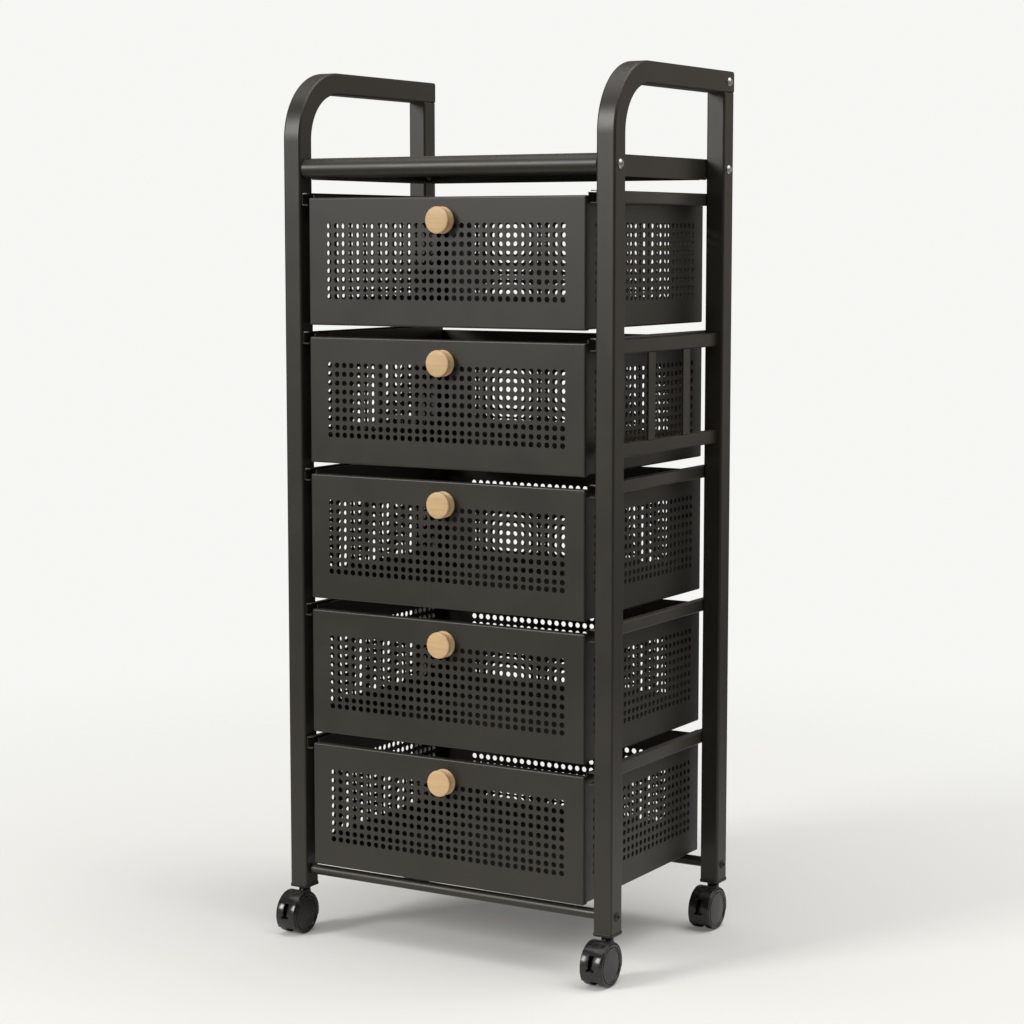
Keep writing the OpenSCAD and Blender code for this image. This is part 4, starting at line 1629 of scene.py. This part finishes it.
    def wheel(self, side: Side) -> Shell:
        """One wheel, turned about X: a tread with round shoulders, a groove, and a rimmed, domed disc.

        Inside its rim, the disc's height is h = top - dish * (r / R)^2, a shallow crown.

        Args:
            side: which of the two wheels.

        Returns:
            A closed shell.
        """
        low, high = cad_box(self.node(f"{side.word}_wheel"))
        radius, width = (high[2] - low[2]) / 2, high[0] - low[0]
        shoulder, groove, tread_edge = 1.5 * MM, 2.9 * MM, 1.0 * MM
        disc, rim, lip = radius - groove - 0.9 * MM, 0.6 * MM, 0.4 * MM
        groove_floor, tread_side = width - 1.6 * MM, width - 0.3 * MM
        crown, dish, disc_edge = 0.1 * MM, 0.8 * MM, disc - 1.9 * MM
        hub_bore, hub, hub_chamfer = 8 * MM, 10 * MM, 0.4 * MM
        recess, web, tread_inner = 3 * MM, 4 * MM, radius - 3 * MM
        t = np.linspace(1, 0, 9)
        profile = np.vstack([
            [[0, recess], [hub_bore, recess], [hub_bore, hub_chamfer], [hub_bore + hub_chamfer, 0]],
            [[hub - hub_chamfer, 0], [hub, hub_chamfer], [hub, web]],
            [[tread_inner - lip, web], [tread_inner, web - lip], [tread_inner, 0.3 * MM]],
            arc((radius - tread_edge, tread_edge), tread_edge, -90, 0, 4),
            arc((radius - shoulder, tread_side - shoulder), shoulder, 0, 90, 6),
            [[radius - groove + 0.7 * MM, tread_side]],
            arc((radius - groove + 0.3 * MM, tread_side - lip), lip, 90, 180, 3),
            [[radius - groove - 0.1 * MM, groove_floor], [disc, groove_floor]],
            arc((disc - rim, width - rim), rim, 0, 90, 4),
            arc((disc - 1.1 * MM, width - rim), rim, 90, 165, 4),
            np.column_stack([disc_edge * t, width - crown - dish * t**2]),
        ])
        centre = (low + high) / 2
        start = low[0] if side is Side.RIGHT else high[0]
        return turned(profile, np.array([start, centre[1], centre[2]]), side.value * X_AXIS, 72)

    def build(self, plastic: bpy.types.Material, zinc: bpy.types.Material) -> None:
        """Makes and dresses the caster's pieces; the axle keeps its own shape.

        Args:
            plastic: finish of the hood and wheels.
            zinc: finish of the stem.
        """
        name = self.corner.value
        dress(make_object(f"{name}_stem", self.stem()), zinc, "frame", "zinc", self.node("stem"))
        hood = make_object(f"{name}_hood", self.hood(), bevel=0.12 * MM)
        dress(hood, plastic, f"{name}_caster", "caster_plastic", self.node("hood"))
        for side in Side:
            word = f"{side.word}_wheel"
            wheel = make_object(f"{name}_{side.word}_tyre", self.wheel(side))
            dress(wheel, plastic, f"{name}_{word}", "caster_plastic", self.node(word))


# ---------------------------------------------------------------- studio


@dataclass(frozen=True)
class Softbox:
    """A rectangular light that faces a point."""

    name: str
    place: tuple[float, float, float]
    target: tuple[float, float, float]
    size: tuple[float, float]
    power: float
    colour: tuple[float, float, float] = (1.0, 1.0, 1.0)

    def build(self) -> None:
        """Makes the light."""
        data = bpy.data.lights.new(self.name, "AREA")
        data.shape, data.size, data.size_y = "RECTANGLE", self.size[0], self.size[1]
        data.energy, data.color = self.power, self.colour
        obj = bpy.data.objects.new(self.name, data)
        bpy.context.scene.collection.objects.link(obj)
        place, target = np.array(self.place), np.array(self.target)
        obj.location = place
        obj.rotation_mode = "QUATERNION"
        obj.rotation_quaternion = look_along(target - place)


def look_along(direction: Array) -> tuple[float, float, float, float]:
    """Quaternion of a camera or light that looks along a direction with its top upwards.

    The matrix's columns are right = d x Z, up = right x d and back = -d.

    Args:
        direction: where it looks.

    Returns:
        The quaternion (w, x, y, z).
    """
    d = direction / np.linalg.norm(direction)
    right = np.cross(d, Z_AXIS)
    right /= np.linalg.norm(right)
    up = np.cross(right, d)
    m = np.column_stack([right, up, -d])
    w = math.sqrt(max(0.0, 1 + m[0, 0] + m[1, 1] + m[2, 2])) / 2
    x = math.copysign(math.sqrt(max(0.0, 1 + m[0, 0] - m[1, 1] - m[2, 2])) / 2, m[2, 1] - m[1, 2])
    y = math.copysign(math.sqrt(max(0.0, 1 - m[0, 0] + m[1, 1] - m[2, 2])) / 2, m[0, 2] - m[2, 0])
    z = math.copysign(math.sqrt(max(0.0, 1 - m[0, 0] - m[1, 1] + m[2, 2])) / 2, m[1, 0] - m[0, 1])
    return w, x, y, z


@dataclass
class Studio:
    """Camera, pale floor, soft lights and an even pale background."""

    azimuth: float = 30.73
    pitch: float = 6.415
    sensor: float = 36.0
    lens: float = 85.5511875
    camera_place: tuple[float, float, float] = (1.453589, -2.425727, 0.818364)
    background: tuple[float, float, float] = (0.925, 0.928, 0.902)
    ambient: float = 0.12
    ambient_colour: tuple[float, float, float] = (0.96, 0.98, 1.0)
    floor_colour: tuple[float, float, float] = (0.88, 0.872, 0.845)
    floor_glow: float = 0.12

    def camera(self) -> None:
        """Makes the camera: it looks down by the pitch, turned about Z by the azimuth."""
        data = bpy.data.cameras.new("camera")
        data.sensor_width, data.lens = self.sensor, self.lens
        data.clip_start, data.clip_end = 0.05, 60.0
        obj = bpy.data.objects.new("camera", data)
        bpy.context.scene.collection.objects.link(obj)
        obj.location = self.camera_place
        a, e = math.radians(self.azimuth), math.radians(self.pitch)
        obj.rotation_mode = "QUATERNION"
        obj.rotation_quaternion = look_along(
            np.array([-math.sin(a) * math.cos(e), math.cos(a) * math.cos(e), -math.sin(e)]))
        bpy.context.scene.camera = obj

    def world(self) -> None:
        """An even background for the camera, and a weaker even light for the object."""
        world = bpy.data.worlds.new("studio")
        bpy.context.scene.world = world
        tree = emptied(world)
        seen = add_node(tree, "ShaderNodeBackground")
        seen.inputs["Color"].default_value = (*self.background, 1.0)
        fill = add_node(tree, "ShaderNodeBackground")
        fill.inputs["Color"].default_value = (*self.ambient_colour, 1.0)
        fill.inputs["Strength"].default_value = self.ambient
        path = add_node(tree, "ShaderNodeLightPath")
        mix = add_node(tree, "ShaderNodeMixShader", in_0=path.outputs["Is Camera Ray"], in_1=fill.outputs[0],
                       in_2=seen.outputs[0])
        output = add_node(tree, "ShaderNodeOutputWorld")
        tree.links.new(mix.outputs[0], output.inputs["Surface"])

    def floor(self, radius: float = 7.0, fade_from: float = 0.25, fade_to: float = 1.9) -> None:
        """A round pale floor that fades into the background far from the object.

        Args:
            radius: the disc's radius.
            fade_from: distance at which the fade starts.
            fade_to: distance at which only the background is left.
        """
        angle = np.linspace(0, 2 * math.pi, 96, endpoint=False)
        ring = np.column_stack([np.cos(angle), np.sin(angle), np.zeros_like(angle)]) * radius
        floor = make_object("studio_floor", Shell(ring, [np.arange(len(ring))[None]]))
        material = bpy.data.materials.new("studio_floor")
        tree = emptied(material)
        place = add_node(tree, "ShaderNodeTexCoord").outputs["Object"]
        length = add_node(tree, "ShaderNodeVectorMath", operation="LENGTH", in_0=place)
        fade = ramp(tree, length.outputs["Value"], fade_from, fade_to)
        plain = add_node(tree, "ShaderNodeBsdfDiffuse", in_0=(*self.floor_colour, 1.0))
        clear = add_node(tree, "ShaderNodeBsdfTransparent")
        seen = add_node(tree, "ShaderNodeLightPath").outputs["Is Camera Ray"]
        glow = add_node(tree, "ShaderNodeEmission", in_0=(*self.background, 1.0),
                        in_1=times(tree, seen, self.floor_glow))
        lit = add_node(tree, "ShaderNodeAddShader", in_0=plain.outputs[0], in_1=glow.outputs[0])
        mix = add_node(tree, "ShaderNodeMixShader", in_0=fade, in_1=lit.outputs[0], in_2=clear.outputs[0])
        output = add_node(tree, "ShaderNodeOutputMaterial")
        tree.links.new(mix.outputs[0], output.inputs["Surface"])
        floor.data.materials.append(material)

    def lights(self) -> None:
        """The softboxes: a key at the front left, one at the upper right, one overhead and two dim walls."""
        middle = (0.0, 0.0, 0.5)
        for box in (
            Softbox("key", (-2.4, -4.3, 2.65), middle, (1.6, 2.0), 150.0, (1.0, 0.985, 0.96)),
            Softbox("front_wall", (-1.9, -3.2, 0.9), middle, (2.6, 1.8), 6.5, (1.0, 0.97, 0.93)),
            Softbox("right_wall", (1.95, 3.4, 1.1), middle, (3.2, 2.2), 7.0, (1.0, 0.90, 0.78)),
            Softbox("right", (1.7, 0.5, 3.1), middle, (3.0, 3.0), 46.0, (1.0, 0.98, 0.955)),
            Softbox("overhead", (-0.1, -0.3, 3.6), (-0.2, -0.2, 0.0), (3.8, 3.8), 62.0, (1.0, 0.995, 0.985)),
        ):
            box.build()

    def build(self) -> None:
        """Sets the whole studio up."""
        self.camera()
        self.world()
        self.floor()
        self.lights()
        bpy.context.scene.view_settings.view_transform = "Standard"


# ---------------------------------------------------------------- trolley


@dataclass(frozen=True)
class Finishes:
    """Every finish of the trolley."""

    frame_coat: PowderCoat = PowderCoat("charcoal_tube_coat", (0.032, 0.0285, 0.020), 0.37)
    drawer_coat: PowderCoat = PowderCoat("charcoal_sheet_coat", (0.032, 0.0288, 0.021), 0.38)
    runner_coat: PowderCoat = PowderCoat("charcoal_runner_coat", (0.058, 0.053, 0.044), 0.34)
    beech: Beech = Beech("lacquered_beech", (0.80, 0.55, 0.29), 0.40)
    cap_plastic: Plastic = Plastic("matt_black_moulding", (0.010, 0.009, 0.008), 0.36)
    caster_plastic: Plastic = Plastic("gloss_black_nylon", (0.009, 0.008, 0.0065), 0.24, coat=0.25)
    zinc: Plating = Plating("bright_zinc", (0.74, 0.73, 0.70), 0.36)
    black_bolt: Plating = Plating("blackened_steel", (0.06, 0.056, 0.05), 0.40, metal=0.6)


def main() -> None:
    """Builds the studio, the materials and every sub-assembly."""
    logging.basicConfig(level=logging.INFO, format="%(name)s: %(message)s")
    Studio().build()
    shop, finishes = Workshop(), Finishes()
    made = {name: getattr(finishes, name).material(shop) for name in Finishes.__dataclass_fields__}
    for side in Side:
        SideFrame(side).build(made["frame_coat"], made["runner_coat"])
    CrossRails().build(made["frame_coat"])
    Shelf().build(made["frame_coat"])
    Caps().build(made["cap_plastic"])
    FrameBolts().build(made["zinc"], made["black_bolt"])
    for number in DRAWERS:
        Drawer(number).build(made["drawer_coat"], made["beech"], made["zinc"])
    for corner in Corner:
        Caster(corner).build(made["caster_plastic"], made["zinc"])
    for node in ("handle_connectors", *(f"caster_{c.value}_axle" for c in Corner)):
        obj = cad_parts[node]
        obj.data.materials.clear()
        obj.data.materials.append(made["zinc"])
        LOG.info("%s keeps its own shape, in zinc", node)


if __name__ == "__main__":
    main()
